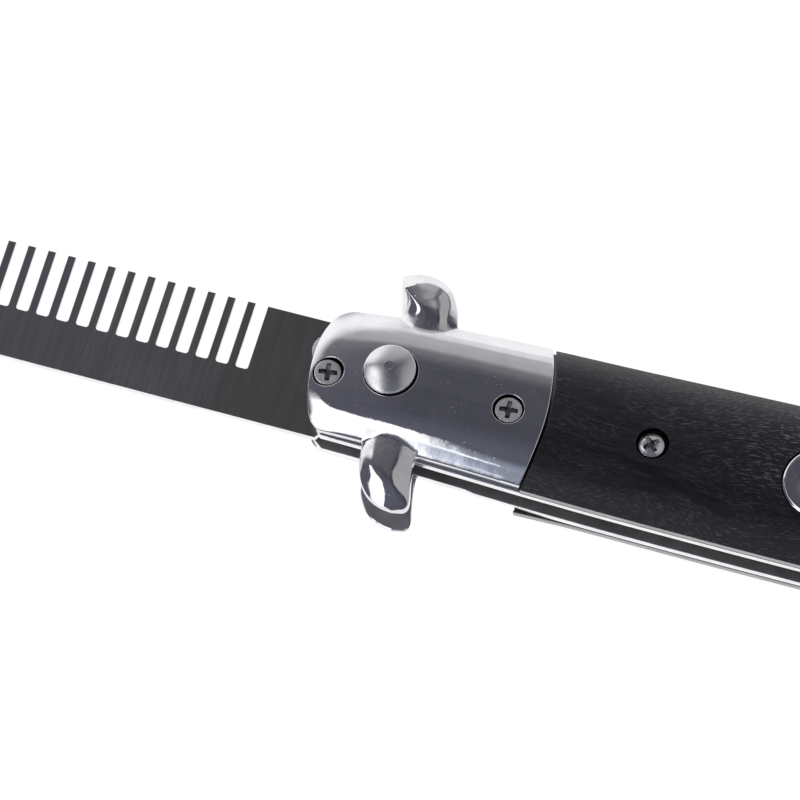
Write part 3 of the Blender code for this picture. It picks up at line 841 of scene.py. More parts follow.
def steel_material(name, colour, dark, rough, brush=(60, 60, 60), strength=0.15, haze=420.0):
    """Flat ground steel with a faint lay and a little staining."""
    m = Nodes(name)
    lay = m.noise(m.mapped(brush), 1.0, 3.0, 0.65)
    cloud = m.noise(m.mapped((1, 1, 1)), haze, 4.0, 0.6)
    tint = m.blend(m.ramp(cloud, 0.3, 0.72), dark, colour)
    tint = m.blend(m.ramp(lay, 0.35, 0.75, 0.0, 0.35), tint, dark)
    r = m.ramp(lay, 0.25, 0.75, rough * 0.85, rough * 1.15)
    m.set(Base_Color=tint, Metallic=1.0, Roughness=r, Normal=m.bump(lay, strength, 0.00002))
    return m.mat


def comb_material():
    """Dark ground steel, brushed across the comb in the direction of the teeth."""
    m = Nodes("brushed_comb_steel")
    fine = m.noise(m.mapped((9000, 260, 260)), 1.0, 3.0, 0.75)
    broad = m.noise(m.mapped((1600, 90, 90)), 1.0, 2.0, 0.6)
    cloud = m.noise(m.mapped((1, 1, 1)), 170, 4.0, 0.6)
    dust = m.spots(m.mapped((1, 1, 1)), 1500)
    some = m.noise(m.mapped((1, 1, 1)), 300, 2.0, 0.5)
    spot = m.math("MULTIPLY", m.ramp(dust.outputs["Distance"], 0.02, 0.14, 1.0, 0.0),
                  m.ramp(some, 0.58, 0.68))
    streak = m.noise(m.mapped((2300, 150, 150)), 1.0, 4.0, 0.7)
    base = m.blend(m.ramp(streak, 0.34, 0.66), (0.345, 0.345, 0.34), (0.465, 0.465, 0.46))
    base = m.blend(m.ramp(cloud, 0.3, 0.75, 0.0, 0.6), base, (0.34, 0.34, 0.335))
    # painted reflection: the steel is darker near the pivot and lighter and bluish further out along the comb
    along = m.position("X")
    base = m.blend(m.ramp(along, -0.031, -0.019, 0.0, 0.8), base, (0.285, 0.285, 0.262))
    base = m.blend(m.ramp(along, -0.034, -0.048, 0.0, 0.6), base, (0.37, 0.37, 0.395))
    base = m.blend(m.math("MULTIPLY", spot, 0.5), base, (0.8, 0.8, 0.8))
    rough = m.ramp(broad, 0.3, 0.7, 0.31, 0.35)
    n1 = m.bump(fine, 0.10, 0.00002)
    n2 = m.bump(broad, 0.015, 0.00003, n1)
    m.set(Base_Color=base, Metallic=1.0, Roughness=rough, Normal=n2)
    m.shader.inputs["Anisotropic"].default_value = 0.55
    tangent = m.add("ShaderNodeTangent", direction_type="RADIAL", axis="X")
    m.link(tangent.outputs[0], m.shader.inputs["Tangent"])
    return m.mat


def wood_material():
    """Black dyed wood: satin, with short light grain flecks that follow a gentle curve; a painted sheen makes
    it lighter, and its flecks brighter, towards the north edge.
    """
    m = Nodes("black_wood")
    bend = m.noise(m.mapped((38, 60, 60), location=(0.3, 0, 0)), 1.0, 1.0, 0.4, output="Color")
    shift = m.add("ShaderNodeVectorMath", operation="MULTIPLY_ADD")
    m.link(bend, shift.inputs[0])
    shift.inputs[1].default_value = (0.0, 0.0058, 0.0)
    parts = m.add("ShaderNodeSeparateXYZ")
    m.link(m.coord, parts.inputs[0])
    spread = m.math("ADD", 1.0, m.ramp(parts.outputs["X"], 0.029, 0.047, 0.0, 0.85))
    across = m.math("SUBTRACT", m.math("DIVIDE", m.math("ADD", parts.outputs["Y"], 0.0013), spread),
                    0.0013)
    fan = m.add("ShaderNodeCombineXYZ")
    m.link(parts.outputs["X"], fan.inputs["X"])
    m.link(across, fan.inputs["Y"])
    m.link(parts.outputs["Z"], fan.inputs["Z"])
    m.link(fan.outputs[0], shift.inputs[2])
    flow = shift.outputs[0]
    flecks = m.noise(m.mapped((1050, 12500, 3600), source=flow), 1.0, 1.5, 0.55)
    fibre = m.noise(m.mapped((240, 3000, 900), source=flow), 1.0, 4.0, 0.7)
    figure = m.noise(m.mapped((45, 330, 100), source=flow), 1.0, 3.0, 0.55, 0.4)
    patch = m.noise(m.mapped((70, 120, 100)), 1.0, 2.0, 0.5)
    light = m.math("MULTIPLY", m.ramp(flecks, 0.55, 0.66), m.ramp(patch, 0.35, 0.62, 0.5, 1.0))
    light = m.math("MULTIPLY", light, m.ramp(figure, 0.34, 0.52, 0.25, 1.0))
    # painted sheen: the flecks are brighter towards the north edge
    light = m.math("MULTIPLY", light, m.ramp(parts.outputs["Y"], -0.0035, 0.0045, 0.45, 1.0))
    light = m.math("MULTIPLY", light, m.ramp(parts.outputs["X"], 0.028, 0.040, 0.85, 1.25))
    base = m.blend(m.ramp(figure, 0.3, 0.7), (0.0060, 0.0058, 0.0085), (0.0125, 0.0120, 0.0160))
    # painted sheen: the wood is lighter towards the north edge
    base = m.blend(m.ramp(parts.outputs["Y"], -0.0010, 0.0050, 0.0, 0.75), base,
                   (0.0250, 0.0240, 0.0300))
    # one darker growth line that runs down past the screw
    line = m.math("ADD", parts.outputs["Y"], m.math("MULTIPLY", parts.outputs["X"], 0.24))
    line = m.ramp(m.math("ABSOLUTE", m.math("SUBTRACT", line, 0.0043)), 0.0002, 0.0010, 1.0, 0.0)
    line = m.math("MULTIPLY", line, m.ramp(parts.outputs["X"], 0.0245, 0.0310))
    line = m.math("MULTIPLY", line, m.ramp(parts.outputs["X"], 0.0400, 0.0460, 0.8, 0.0))
    base = m.blend(line, base, (0.0035, 0.0034, 0.0046))
    light = m.math("MULTIPLY", light, m.math("SUBTRACT", 1.0, line))
    base = m.blend(m.ramp(fibre, 0.4, 0.75, 0.0, 0.6), base, (0.026, 0.025, 0.030))
    base = m.blend(m.math("MULTIPLY", light, 0.9), base, (0.200, 0.200, 0.215))
    rough = m.ramp(fibre, 0.25, 0.75, 0.36, 0.52)
    n1 = m.bump(fibre, 0.30, 0.00003)
    n2 = m.bump(light, 0.25, 0.00003, n1)
    m.set(Base_Color=base, Roughness=rough, Normal=n2)
    m.shader.inputs["Specular IOR Level"].default_value = 0.45
    return m.mat


def rim_wood_material():
    """The sawn, polished rim of the scales, which catches the light as pale grey."""
    m = Nodes("black_wood_rim")
    grain = m.noise(m.mapped((180, 1600, 2600)), 1.0, 4.0, 0.7)
    base = m.blend(m.ramp(grain, 0.3, 0.7), (0.30, 0.30, 0.31), (0.52, 0.52, 0.53))
    # painted shade: a dark line where the rim meets the liner
    off = m.math("ABSOLUTE", m.math("SUBTRACT", m.position("Z"), -float(ORIGIN[2]) * 0.001))
    base = m.blend(m.ramp(off, 0.00268, 0.00288), (0.02, 0.02, 0.02), base)
    m.set(Base_Color=base, Roughness=m.ramp(grain, 0.3, 0.7, 0.25, 0.4),
          Normal=m.bump(grain, 0.25, 0.00003))
    m.shader.inputs["Specular IOR Level"].default_value = 0.6
    return m.mat


CHROME = chrome_material()
COMB = comb_material()
WOOD = wood_material()
RIM_WOOD = rim_wood_material()
LINER = steel_material("liner_steel", (0.93, 0.93, 0.94), (0.80, 0.80, 0.82), 0.22,
                       (400, 3000, 9000), 0.12)
NOSE = steel_material("bright_liner_nose", (0.95, 0.95, 0.98), (0.85, 0.85, 0.89), 0.60,
                      (900, 900, 900), 0.2)
NOSE.node_tree.nodes["Principled BSDF"].inputs["Metallic"].default_value = 0.15
# painted shade: the walls inside holes and recesses are near black, standing for the shade that falls inside
# them
PAINTED_SHADE_BORE = steel_material("bore_painted_shade", (0.030, 0.030, 0.032), (0.012, 0.012, 0.013), 0.50,
                      (900, 900, 900), 0.2)
# painted shade: the faces inside the slot, and the spacer there, are a darker steel than the liners
DARK_PLATE = steel_material("slot_steel_painted_shade", (0.53, 0.53, 0.535), (0.40, 0.40, 0.41), 0.50,
                            (500, 4200, 600), 0.20)
SCREW = steel_material("screw_steel", (0.90, 0.90, 0.91), (0.78, 0.78, 0.80), 0.52,
                       (2600, 2600, 2600), 0.10, 900.0)
# painted shade: the cross recesses are a darker steel than the heads, for the shade inside them
SHADED_RECESS_METAL = steel_material("screw_recess_painted_shade", (0.40, 0.40, 0.41), (0.24, 0.24, 0.25), 0.20,
                              (2600, 2600, 2600), 0.15, 900.0)
BRIGHT_SCREW = steel_material("bright_screw", (0.92, 0.92, 0.93), (0.74, 0.74, 0.76), 0.25,
                              (2600, 2600, 2600), 0.15, 900.0)
BUTTON_METAL = chrome_material("satin_chrome", 0.20, 0.30)
INNER_FACE = steel_material("cast_inner_face", (0.50, 0.50, 0.535), (0.38, 0.38, 0.41), 0.60,
                            (1400, 1400, 1400), 0.30, 700.0)

# ------------------------------------------------------------------ front bolsters
FRONT_RISE, FRONT_POWER = 30.0, 5.5


def front_lift(u, v):
    d = u - front_line(v)
    t = np.clip(d / FRONT_RISE, 0, 1)
    return 0.22 + 0.78 * (1 - (1 - t) ** FRONT_POWER)


BOX = ((-3.4, 28.4), (-15.8, 16.8))


def bolster_plan(side):
    plate = resampled(plate_outline(front_line, lambda v: joint_line(v, side), bolster_south, north,
                                    corners=(1.7, 1.9)), 0.25)
    xs = np.arange(BOX[0][0], BOX[0][1], 0.12)
    ys = np.arange(BOX[1][0], BOX[1][1], 0.12)
    gx, gy = np.meshgrid(xs, ys)
    p = np.stack([gx.ravel(), gy.ravel()], 1)
    f = signed_distance(p, plate)
    for table in (QUILLON_NORTH, QUILLON_SOUTH):
        limb = resampled(limb_outline(table), 0.25)
        f = smooth_max(f, signed_distance(p, limb), 0.35)
    return contour(f.reshape(gx.shape), xs, ys)


def bolster_height(side):
    def height(u, v):
        sag = np.clip((27.4 - u) / 14.0, 0, 1) ** 2 * np.clip((0.5 - v) / 4.0, 0, 1)
        sag = np.where(u < 13.4, np.clip((u + 3) / 16.4, 0, 1) ** 2 * np.clip((0.5 - v) / 4.0, 0, 1), sag)
        z = plate_height(u, v, bolster_south, north, WALL, front_lift(u, v) * (1 - 0.075 * sag), 3.0)
        z = smooth_max(z, LIMB_NORTH.height(u, v), 0.30)
        z = smooth_max(z, LIMB_SOUTH.height(u, v), 0.30)
        return np.minimum(z, CROWN)
    return height


def bolster_polish(u, v):
    flank = np.clip((-1.0 - v) / 3.0, 0, 1)
    plate = plate_height(u, v, bolster_south, north, WALL, front_lift(u, v), 3.0)
    limb = np.clip((LIMB_SOUTH.height(u, v) - plate) / 0.3, 0, 1) * np.clip((-v - 9.0) / 1.5, 0, 1)
    flank = flank * np.clip((plate - LIMB_SOUTH.height(u, v)) / 0.3, 0, 1)
    body = 0.040 * np.clip((27.0 - u) / 15.0, 0, 1) + 0.012 * np.clip((2.0 - u) / 2.0, 0, 1)
    limb = limb * np.clip(12.4 - u, 0, 1)
    tip = np.clip((-v - 12.2) / 2.2, 0, 1)
    tip = tip * tip * (3 - 2 * tip)
    return limb * (0.060 - 0.145 * tip) - flank * body, -0.092 * tip * limb


def bolster_edge(p):
    """A broad bevel at the scale joint, a finer one round the rest."""
    return np.where(p[:, 0] > 24.0, 0.20, 0.12)


def root_points():
    """Closer points where the quillons grow out of the bolster."""
    out = []
    for (u0, u1, v0, v1) in ((3.5, 15.5, 6.5, 16.5), (4.0, 16.0, -15.5, -3.0)):
        xs, ys = np.arange(u0, u1, 0.17), np.arange(v0, v1, 0.17)
        gx, gy = np.meshgrid(xs, ys)
        out.append(np.stack([gx.ravel() + 0.05, gy.ravel() + 0.03], 1))
    return np.vstack(out)


for side, tag in ((1, "near"), (-1, "far")):
    holes = [(u + shift, v, BOLSTER_RECESS, head - 0.78, 0.10)
             for screw, u, v, head, r, turn, shift in SCREWS[:2]]
    if side > 0:
        holes.append((*BUTTON_HOLE, None, 0.14))
    piece = field_mesh("polished_front_bolster_" + tag, bolster_plan(side), holes,
                       bolster_height(side), 2.5, side, 0.30, CHROME, "handle",
                       ("front_bolster_" + tag,), edge=bolster_edge, extra=root_points(),
                       bores=PAINTED_SHADE_BORE, chamfer=0.0 if side > 0 else 0.13, polish=bolster_polish)
    paint(piece, INNER_FACE, lambda n: n.z * side < -0.9)

# ------------------------------------------------------------------ wood scales
for side, tag in ((1, "near"), (-1, "far")):
    south = scale_south if side > 0 else far_scale_south
    plan = plate_outline(lambda v: joint_line(v, side) + JOINT_GAP,
                         lambda v: rear_line(v) - JOINT_GAP, south, scale_north)
    holes = [(u + shift, v, RECESS, head - 0.78, 0.10)
             for screw, u, v, head, r, turn, shift in SCREWS[2:]]
    if side > 0:
        holes.append((*ESCUTCHEON, 4.70, CROWN - 1.25, 0.06))
    scale = field_mesh("wood_scale_" + tag, plan, holes,
                       lambda u, v: plate_height(u, v, south, scale_north, SCALE_WALL, 1.0),
                       2.5, side, 0.60, WOOD, "handle", ("scale_" + tag,),
                       edge=0.10, ring_gap=0.3, bores=PAINTED_SHADE_BORE, chamfer=0.05)
    # painted shade on the underside's break, for a dark line along the joint with the liner
    paint(scale, PAINTED_SHADE_BORE, lambda n: -0.9 < n.z * side < -0.3)
    paint(scale, RIM_WOOD, lambda n: abs(n.z) < 0.25 and abs(n.y) > 0.8)

# ------------------------------------------------------------------ rear bolsters
for side, tag in ((1, "near"), (-1, "far")):
    plan = plate_outline(rear_line, tail_line, bolster_south, north, corners=(3.6, 3.6), at_end=True)

    def tail_height(u, v):
        d = np.maximum(tail_line(v) - u, 0)
        t = np.clip(d / 12.0, 0, 1)
        lift = 0.20 + 0.80 * np.sqrt(1 - (1 - t) ** 2)
        return plate_height(u, v, bolster_south, north, WALL, lift)

    field_mesh("polished_rear_bolster_" + tag, plan, [], tail_height, 2.5, side, 0.40, CHROME,
               "handle", ("rear_bolster_" + tag,), edge=0.14, ring_gap=0.25)

# ------------------------------------------------------------------ liners and what is between them
LINER_OUT, SLOT_HALF = 2.4, 1.4


def liner_outline(side):
    points = []
    steps = 90
    for k in range(steps + 1):
        u = 1.2 + (TAIL_U - 5.2 - 1.2) * k / steps
        points.append((u, float(liner_south(u)) - (0.18 if side < 0 and u > 20 else 0.0)))
    for k in range(1, 24):
        t = k / 24.0
        v = float(liner_south(TAIL_U - 5.2)) + t * (float(north(TAIL_U - 4.4)) - 0.2
                                                   - float(liner_south(TAIL_U - 5.2)))
        points.append((TAIL_U - 5.2 + 4.9 * math.sin(math.pi * t) ** 0.6, v))
    for k in range(steps + 1):
        u = (TAIL_U - 4.4) + (1.6 - (TAIL_U - 4.4)) * k / steps
        points.append((u, float(north(u)) - 0.2))
    for v in (8.3, 7.4, 6.4):
        points.append((float(front_line(v)) + (0.9 if v > 8 else 0.35 if v > 7 else 0.15), v))
    for k in range(11):
        a = math.radians(140.0 + 6.0 * k)
        points.append((-0.93 + 2.2 * math.cos(a), 3.75 + 2.2 * math.sin(a)))
    for v in (1.4, 0.2, -1.0, -2.3, -3.5, -4.6, -5.6, -6.6):
        points.append((float(front_line(v)) + (0.5 if v < -6 else 0.15), v))
    return points


for side, tag in ((1, "near"), (-1, "far")):
    low, high = sorted((side * SLOT_HALF, side * LINER_OUT))
    plate = slab("steel_liner_" + tag, liner_outline(side), low, high, 0.10, LINER, "handle",
                 ("liner_" + tag,))
    # the liner's inner face, in the slot, takes the painted shade
    paint(plate, DARK_PLATE, lambda n: n.z * side < -0.9)
    bm = bmesh.new()
    bm.from_mesh(plate.data)
    bmesh.ops.bisect_plane(bm, geom=bm.verts[:] + bm.edges[:] + bm.faces[:],
                           plane_co=placed((-1.05, 0, 0)), plane_no=(1, 0, 0))
    bm.to_mesh(plate.data)
    bm.free()
    plate.data.materials.append(NOSE)
    for face in plate.data.polygons:
        if face.normal.z * side > 0.5 and face.center.x < placed((-1.05, 0, 0))[0]:
            face.material_index = len(plate.data.materials) - 1

# the back spacer, inside the slot, also takes the slot's painted shade
for name, mat in (("back_spacer", DARK_PLATE), ("tail_spacer", LINER), ("pivot_pin", SCREW)):
    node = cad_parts[name]
    node.data.materials.clear()
    node.data.materials.append(mat)


# ------------------------------------------------------------------ screws
def cross_cutter(name, u, v, top, turn, arm, half, side):
    """A pressed cross recess: wide at the face, narrowing to a point below."""
    rings = []
    for scale_arm, scale_half, depth in ((1.06, 1.12, 0.12), (1.0, 1.0, 0.0), (0.80, 0.72, -0.34),
                                         (0.42, 0.55, -0.60)):
        ring = []
        a, t = arm * scale_arm, half * scale_half
        for k in range(4):
            b = math.radians(turn) - k * math.pi / 2
            for along, across in ((t * 1.12, t * 1.12), (a, t * 0.92), (a, -t * 0.92)):
                ring.append((u + along * math.cos(b) - across * math.sin(b),
                             v + along * math.sin(b) + across * math.cos(b), side * (top + depth)))
        rings.append(ring)
    verts = [p for ring in rings for p in ring]
    n = len(rings[0])
    faces = [tuple(range(n)), tuple(range((len(rings) - 1) * n, len(rings) * n))[::-1]]
    for r in range(len(rings) - 1):
        for k in range(n):
            m = (k + 1) % n
            faces.append((r * n + k, (r + 1) * n + k, (r + 1) * n + m, r * n + m))
    # the cutter carries the recess's painted shade onto the cut faces
    obj = new_object(name, verts, faces, SHADED_RECESS_METAL, None)
    bm = bmesh.new()
    bm.from_mesh(obj.data)
    bmesh.ops.recalc_face_normals(bm, faces=bm.faces)
    bm.to_mesh(obj.data)
    bm.free()
    return obj


def cut_now(obj, cutter, soften=0.035):
    """Cut a recess for good, then soften its edges."""
    mod = obj.modifiers.new("cut", "BOOLEAN")
    mod.operation, mod.solver, mod.object = "DIFFERENCE", "EXACT", cutter
    mod.material_mode = "TRANSFER"
    graph = bpy.context.evaluated_depsgraph_get()
    mesh = bpy.data.meshes.new_from_object(obj.evaluated_get(graph))
    obj.modifiers.clear()
    old = obj.data
    obj.data = mesh
    bpy.data.meshes.remove(old)
    bpy.data.objects.remove(cutter, do_unlink=True)
    mesh.shade_smooth()
    mesh.set_sharp_from_angle(angle=math.radians(30))
    bev = obj.modifiers.new("soft_edges", "BEVEL")
    bev.width, bev.segments, bev.limit_method = soften * 0.001, 2, "ANGLE"
    bev.angle_limit = math.radians(42)
    wn = obj.modifiers.new("even_shading", "WEIGHTED_NORMAL")
    wn.keep_sharp = True
    return obj


def screw_head(name, u, v, top, r, turn, side, bulge=0.0, arm=1.17, half=0.31, metal=SCREW):
    profile = [(0.95, 2.56), (0.95, top - 0.68), (r - 0.05, top - 0.68), (r, top - 0.60),
               (r, top - 0.20 - bulge)]
    for k in range(1, 6):
        a = math.radians(90.0 * k / 5)
        profile.append((r - 0.16 * (1 - math.cos(a)), top - 0.20 - bulge + 0.16 * math.sin(a)))
    for f in (0.82, 0.64, 0.46, 0.28, 0.12, 0.0):
        profile.append(((r - 0.16) * f, top - 0.04 - bulge * f * f))
    if side < 0:
        profile = [(a, -z) for a, z in profile[::-1]]
    head = lathe("cross_head_" + name, (u, v), profile, 56, metal, "handle", (name,))
    return cut_now(head, cross_cutter("cutter_" + name, u, v, top - 0.04, turn, arm, half, side))


for side, tag in ((1, "near"), (-1, "far")):
    for screw, u, v, head, r, turn, shift in SCREWS:
        domed = screw.startswith(("scale", "rear"))
        extra = {"near": 0.0, "far": 23.0}[tag]
        screw_head(screw + "_" + tag, u, v, head, r, turn + extra, side,
                   0.36 if domed else 0.0, metal=BRIGHT_SCREW if domed else SCREW)
screw_head("escutcheon_screw", *ESCUTCHEON, CROWN + 0.08, 1.68, 12.0, 1)

# ------------------------------------------------------------------ escutcheon
R, TOP = 4.62, CROWN + 0.12
lathe("round_escutcheon", ESCUTCHEON, (
    (1.10, CROWN - 1.15), (R - 0.05, CROWN - 1.15), (R, CROWN - 1.10), (R, TOP - 0.30), (R - 0.03, TOP - 0.24),
    (R - 0.30, TOP - 0.03), (R - 0.36, TOP), (R - 0.60, TOP), (3.2, TOP - 0.01), (2.16, TOP - 0.02),
    (2.06, TOP - 0.06), (2.0, TOP - 0.14), (2.0, TOP - 0.80), (1.10, TOP - 0.80), (1.10, CROWN - 1.15)),
    128, CHROME, "handle", ("escutcheon",), smooth_angle=28)

# ------------------------------------------------------------------ push button
BR, UNDER, SHOULDER_Z, BTOP = 3.18, 3.75, 6.75, 7.60
ROUND = 0.30
profile = [(0.0, UNDER), (BR, UNDER), (BR, SHOULDER_Z - ROUND)]
for k in range(1, 9):
    a = math.radians(66.0 * k / 8)
    profile.append((BR - ROUND * (1 - math.cos(a)), SHOULDER_Z - ROUND + ROUND * math.sin(a)))
turn_in, turn_z = profile[-1]
dome = lambda r: BTOP - 0.14 * r - 0.0530 * r * r
lower = dome(turn_in) - turn_z
for r in np.linspace(turn_in - 0.03, 0.58, 26):
    profile.append((float(r), float(dome(r) - lower)))
top = profile[-1][1]
for r, z in ((0.52, top - 0.008), (0.46, top - 0.022), (0.40, top - 0.028), (0.30, top - 0.031),
             (0.15, top - 0.032), (0.0, top - 0.032)):
    profile.append((r, z))
button = lathe("domed_button", BUTTON, profile, 128, BUTTON_METAL, "button",
               ("push_button",), smooth_angle=40)
for vert in button.data.vertices:
    # its top leans a little, as the real one does in its loose hole
    if vert.co.z > placed((0, 0, SHOULDER_Z - 0.5))[2]:
        du, dv = vert.co.x - placed((*BUTTON, 0))[0], vert.co.y - placed((*BUTTON, 0))[1]
        vert.co.z += 0.050 * du + 0.055 * dv

# ------------------------------------------------------------------ comb
COMB_REACH, COMB_SPINE, COMB_ROOTS, COMB_Z = 96.0, -7.35, -0.88, (0.15, 1.15)
TEETH, PITCH, TOOTH, FIRST = 31, 2.54, 1.02, -12.13
TANG_RADIUS, SHOULDER = 5.4, -1.2


def tip_line(u):
    return 7.88 + (u - FIRST) * 0.0079


def comb_outline():
    points = []
    corner = 5.5
    for k in range(17):
        a = math.radians(180.0 + 90.0 * k / 16)
        points.append((-COMB_REACH + corner + corner * math.cos(a),
                       COMB_SPINE + corner + corner * math.sin(a)))
    points.append((0.4, COMB_SPINE))
    start = math.atan2(-TANG_RADIUS * 0.92, 1.7)
    for k in range(25):
        a = start + (math.radians(98.0) - start) * k / 24
        points.append((TANG_RADIUS * math.cos(a), TANG_RADIUS * math.sin(a)))
    points.append((SHOULDER, 6.4))
    points.append((SHOULDER, tip_line(SHOULDER) - 0.5))
    points.append((SHOULDER - 0.5, tip_line(SHOULDER)))
    half, gap, r = TOOTH / 2, PITCH - TOOTH, 0.32
    right = FIRST + half + gap
    for k in range(TEETH + 1):
        left = right - gap
        points.append((right, tip_line(right)))
        for j in range(5):
            a = math.radians(-22.5 * j)
            points.append((right - r + r * math.cos(a), COMB_ROOTS + r + r * math.sin(a)))
        for j in range(5):
            a = math.radians(-90.0 - 22.5 * j)
            points.append((left + r + r * math.cos(a), COMB_ROOTS + r + r * math.sin(a)))
        points.append((left, tip_line(left)))
        right = left - TOOTH
    points.append((-COMB_REACH + 1.4, tip_line(-COMB_REACH)))
    points.append((-COMB_REACH + 0.4, tip_line(-COMB_REACH) - 0.4))
    points.append((-COMB_REACH, tip_line(-COMB_REACH) - 1.4))
    return points


comb = slab("steel_comb", comb_outline(), COMB_Z[0], COMB_Z[1], 0.09, COMB, "comb",
            ("comb_blade",), segments=2)
hole = slab("comb_hole_cutter", circle(0, 0, 1.72, 40), -3, 4, 0, None, None)
mod = comb.modifiers.new("pivot_hole", "BOOLEAN")
mod.operation, mod.solver, mod.object = "DIFFERENCE", "EXACT", hole
graph = bpy.context.evaluated_depsgraph_get()
comb.modifiers.remove(comb.modifiers["even_shading"])
graph = bpy.context.evaluated_depsgraph_get()
mesh = bpy.data.meshes.new_from_object(comb.evaluated_get(graph))
comb.modifiers.clear()
comb.data = mesh
bpy.data.objects.remove(hole, do_unlink=True)
comb.data.shade_smooth()
comb.data.set_sharp_from_angle(angle=math.radians(50))
paint(comb, LINER, lambda n: abs(n.z) < 0.5)
comb.modifiers.new("even_shading", "WEIGHTED_NORMAL").keep_sharp = True

# ------------------------------------------------------------------ camera
RIGHT = Vector((0.957, 0.287, -0.024)).normalized()
UP = Vector((-0.252, 0.874, 0.415))
UP = (UP - UP.dot(RIGHT) * RIGHT).normalized()
BACK = RIGHT.cross(UP)
PX_PER_MM, AWAY = 8.244, 2000.0
target = Vector((0, 0, 4.4)) + RIGHT * (72 / PX_PER_MM) - UP * (27.5 / PX_PER_MM)
camera = bpy.data.objects.new("camera", bpy.data.cameras.new("camera"))
SCENE.collection.objects.link(camera)
camera.data.sensor_width = 36.0
camera.data.lens = 36.0 * AWAY / (800 / PX_PER_MM)
camera.data.clip_start, camera.data.clip_end = 0.05, 60.0
turn = Matrix((RIGHT, UP, BACK)).transposed().to_4x4()
turn.translation = Vector(placed(target + BACK * AWAY))
camera.matrix_world = turn
SCENE.camera = camera

# ------------------------------------------------------------------ floor
floor_mat = Nodes("white_surface")
grain = floor_mat.noise(floor_mat.mapped((1, 1, 1)), 40, 2.0, 0.5)
floor_mat.set(Base_Color=floor_mat.blend(grain, (0.23, 0.23, 0.232), (0.25, 0.25, 0.25)),
              Roughness=0.6)
floor_mat.shader.inputs["Emission Color"].default_value = (1, 1, 1, 1)
floor_mat.shader.inputs["Emission Strength"].default_value = 0.94
bpy.ops.mesh.primitive_grid_add(x_subdivisions=8, y_subdivisions=8, size=30, location=(0, 0, -0.00002))
floor = bpy.context.object
floor.name = "white_surface"
floor.data.materials.append(floor_mat.mat)

# ------------------------------------------------------------------ studio surroundings
# Directions are laid out on a disc: straight up in the middle, the horizon at radius 1.
studio = bpy.data.worlds.new("studio")
SCENE.world = studio
studio.use_nodes = True


class Surroundings(Nodes):
    def __init__(self, world):
        self.tree = world.node_tree
        self.shader = self.tree.nodes["Background"]
        split = self.add("ShaderNodeSeparateXYZ")
        self.link(self.add("ShaderNodeTexCoord").outputs["Generated"], split.inputs[0])
        x, y, z = split.outputs
        out = self.math("SQRT", self.math("MAXIMUM", self.math("SUBTRACT", 1.0, z), 0.0))
        flat = self.math("SQRT", self.math("ADD", self.math("ADD", self.math("MULTIPLY", x, x),
                                                            self.math("MULTIPLY", y, y)), 1e-9))
        ratio = self.math("DIVIDE", out, flat)
        self.east, self.north = self.math("MULTIPLY", x, ratio), self.math("MULTIPLY", y, ratio)
        self.radius = out

    def line(self, east, north, constant):
        """east * px + north * py + constant."""
        a = self.math("MULTIPLY", self.east, east)
        b = self.math("MULTIPLY_ADD", self.north, north)
        node = b.node
        self.link(a, node.inputs[2])
        return self.math("ADD", b, constant)

    def both(self, *factors):
        out = factors[0]
        for f in factors[1:]:
            out = self.math("MULTIPLY", out, f)
        return out


sky = Surroundings(studio)
colour = sky.blend(sky.ramp(sky.north, 0.15, -0.40), (0.0785, 0.0785, 0.100), (0.118, 0.122, 0.155))
colour = sky.blend(sky.ramp(sky.east, -0.11, -0.27, 0.0, 0.8), colour, (0.110, 0.110, 0.140))
colour = sky.blend(sky.ramp(sky.north, -0.46, -0.60), colour, (0.30, 0.33, 0.41))
colour = sky.blend(sky.ramp(sky.north, -0.74, -0.80), colour, (0.120, 0.125, 0.165))
west = sky.line(1.0, -0.08, -0.048)
colour = sky.blend(sky.both(sky.ramp(west, -0.138, -0.168), sky.ramp(sky.north, -0.46, -0.54),
                            sky.ramp(sky.north, -0.80, -0.77)), colour, (0.38, 0.42, 0.51))
# two strip lights that show wider towards the west
for middle in (-0.610, -0.757):
    off = sky.math("ABSOLUTE", sky.math("SUBTRACT", sky.north, middle))
    off = sky.math("SUBTRACT", off, sky.ramp(west, -0.144, -0.174, 0.007, 0.040))
    tube = sky.both(sky.ramp(off, 0.007, 0.0), sky.ramp(west, -0.134, -0.145))
    colour = sky.blend(tube, colour, (1.4, 1.42, 1.48))
# the room rises from slate to grey towards the north
slant = sky.line(-0.2, 1.0, -0.022)
for low, high, shade in ((0.25, 0.47, (0.20, 0.198, 0.215)), (0.46, 0.59, (0.455, 0.45, 0.47)),
                         (0.60, 0.80, (0.505, 0.50, 0.515))):
    colour = sky.blend(sky.ramp(slant, low, high), colour, shade)
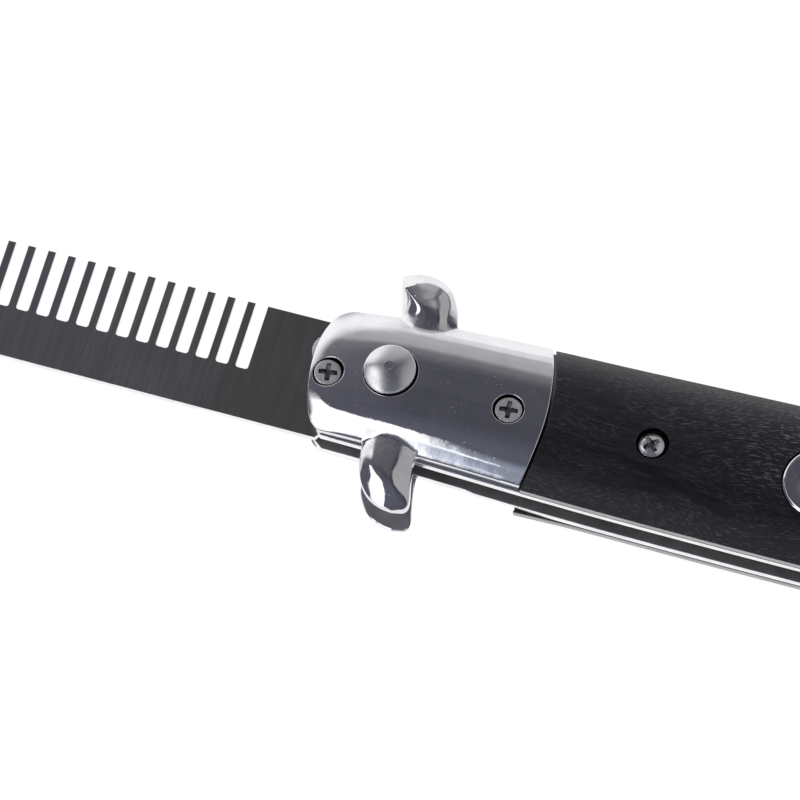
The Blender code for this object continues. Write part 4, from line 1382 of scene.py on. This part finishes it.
# an even grey side in the east
colour = sky.blend(sky.ramp(sky.east, 0.13, 0.20, 0.0, 0.6), colour, (0.045, 0.045, 0.055))
east = sky.both(sky.ramp(sky.east, 0.225, 0.250), sky.ramp(sky.north, -0.75, -0.60),
                sky.ramp(sky.radius, 0.86, 0.80))
colour = sky.blend(east, colour, (0.43, 0.42, 0.43))
# the bright wall behind, low in the north
wall = sky.both(sky.ramp(sky.north, 0.825, 0.875), sky.ramp(sky.east, -0.25, -0.20))
colour = sky.blend(wall, colour, (0.80, 0.80, 0.825))
wall = sky.both(sky.ramp(sky.line(-0.9, 1.0, -0.216), 0.71, 0.98), sky.ramp(sky.east, -0.20, -0.25))
colour = sky.blend(wall, colour, (1.08, 1.08, 1.10))
colour = sky.blend(sky.ramp(sky.north, 0.88, 1.08), colour, (1.05, 1.05, 1.06))
low = sky.both(sky.ramp(sky.radius, 0.90, 0.95), sky.ramp(sky.north, -0.45, -0.20))
colour = sky.blend(low, colour, (0.86, 0.86, 0.88))
# a tall pale panel in the west
west = sky.both(sky.ramp(sky.line(1.0, -0.5, 0.0), -0.665, -0.775), sky.ramp(sky.north, 0.22, 0.28))
colour = sky.blend(west, colour, (1.15, 1.15, 1.17))
# the softbox in the south-west, with its bluish foot
edge = sky.both(sky.ramp(sky.line(-0.83, -0.557, -0.376), -0.004, 0.010), sky.ramp(sky.east, -0.150, -0.164),
                sky.ramp(sky.north, 0.19, 0.13), sky.ramp(sky.radius, 0.87, 0.82),
                sky.ramp(sky.line(1.0, 0.19, 0.0), -0.64, -0.60))
foot = sky.both(edge, sky.ramp(sky.north, -0.80, -0.765), sky.ramp(sky.east, -0.30, -0.20))
colour = sky.blend(foot, colour, (0.66, 0.72, 0.87))
reach = sky.math("MAXIMUM", sky.ramp(sky.north, -0.66, -0.58),
                 sky.both(sky.ramp(sky.east, -0.168, -0.180), sky.ramp(sky.north, -0.81, -0.78)))
box = sky.both(edge, reach)
colour = sky.blend(box, colour, (1.45, 1.45, 1.47))
sky.link(colour, sky.shader.inputs["Color"])
sky.shader.inputs["Strength"].default_value = 1.0

SCENE.view_settings.view_transform = "Standard"
SCENE.view_settings.look = "None"
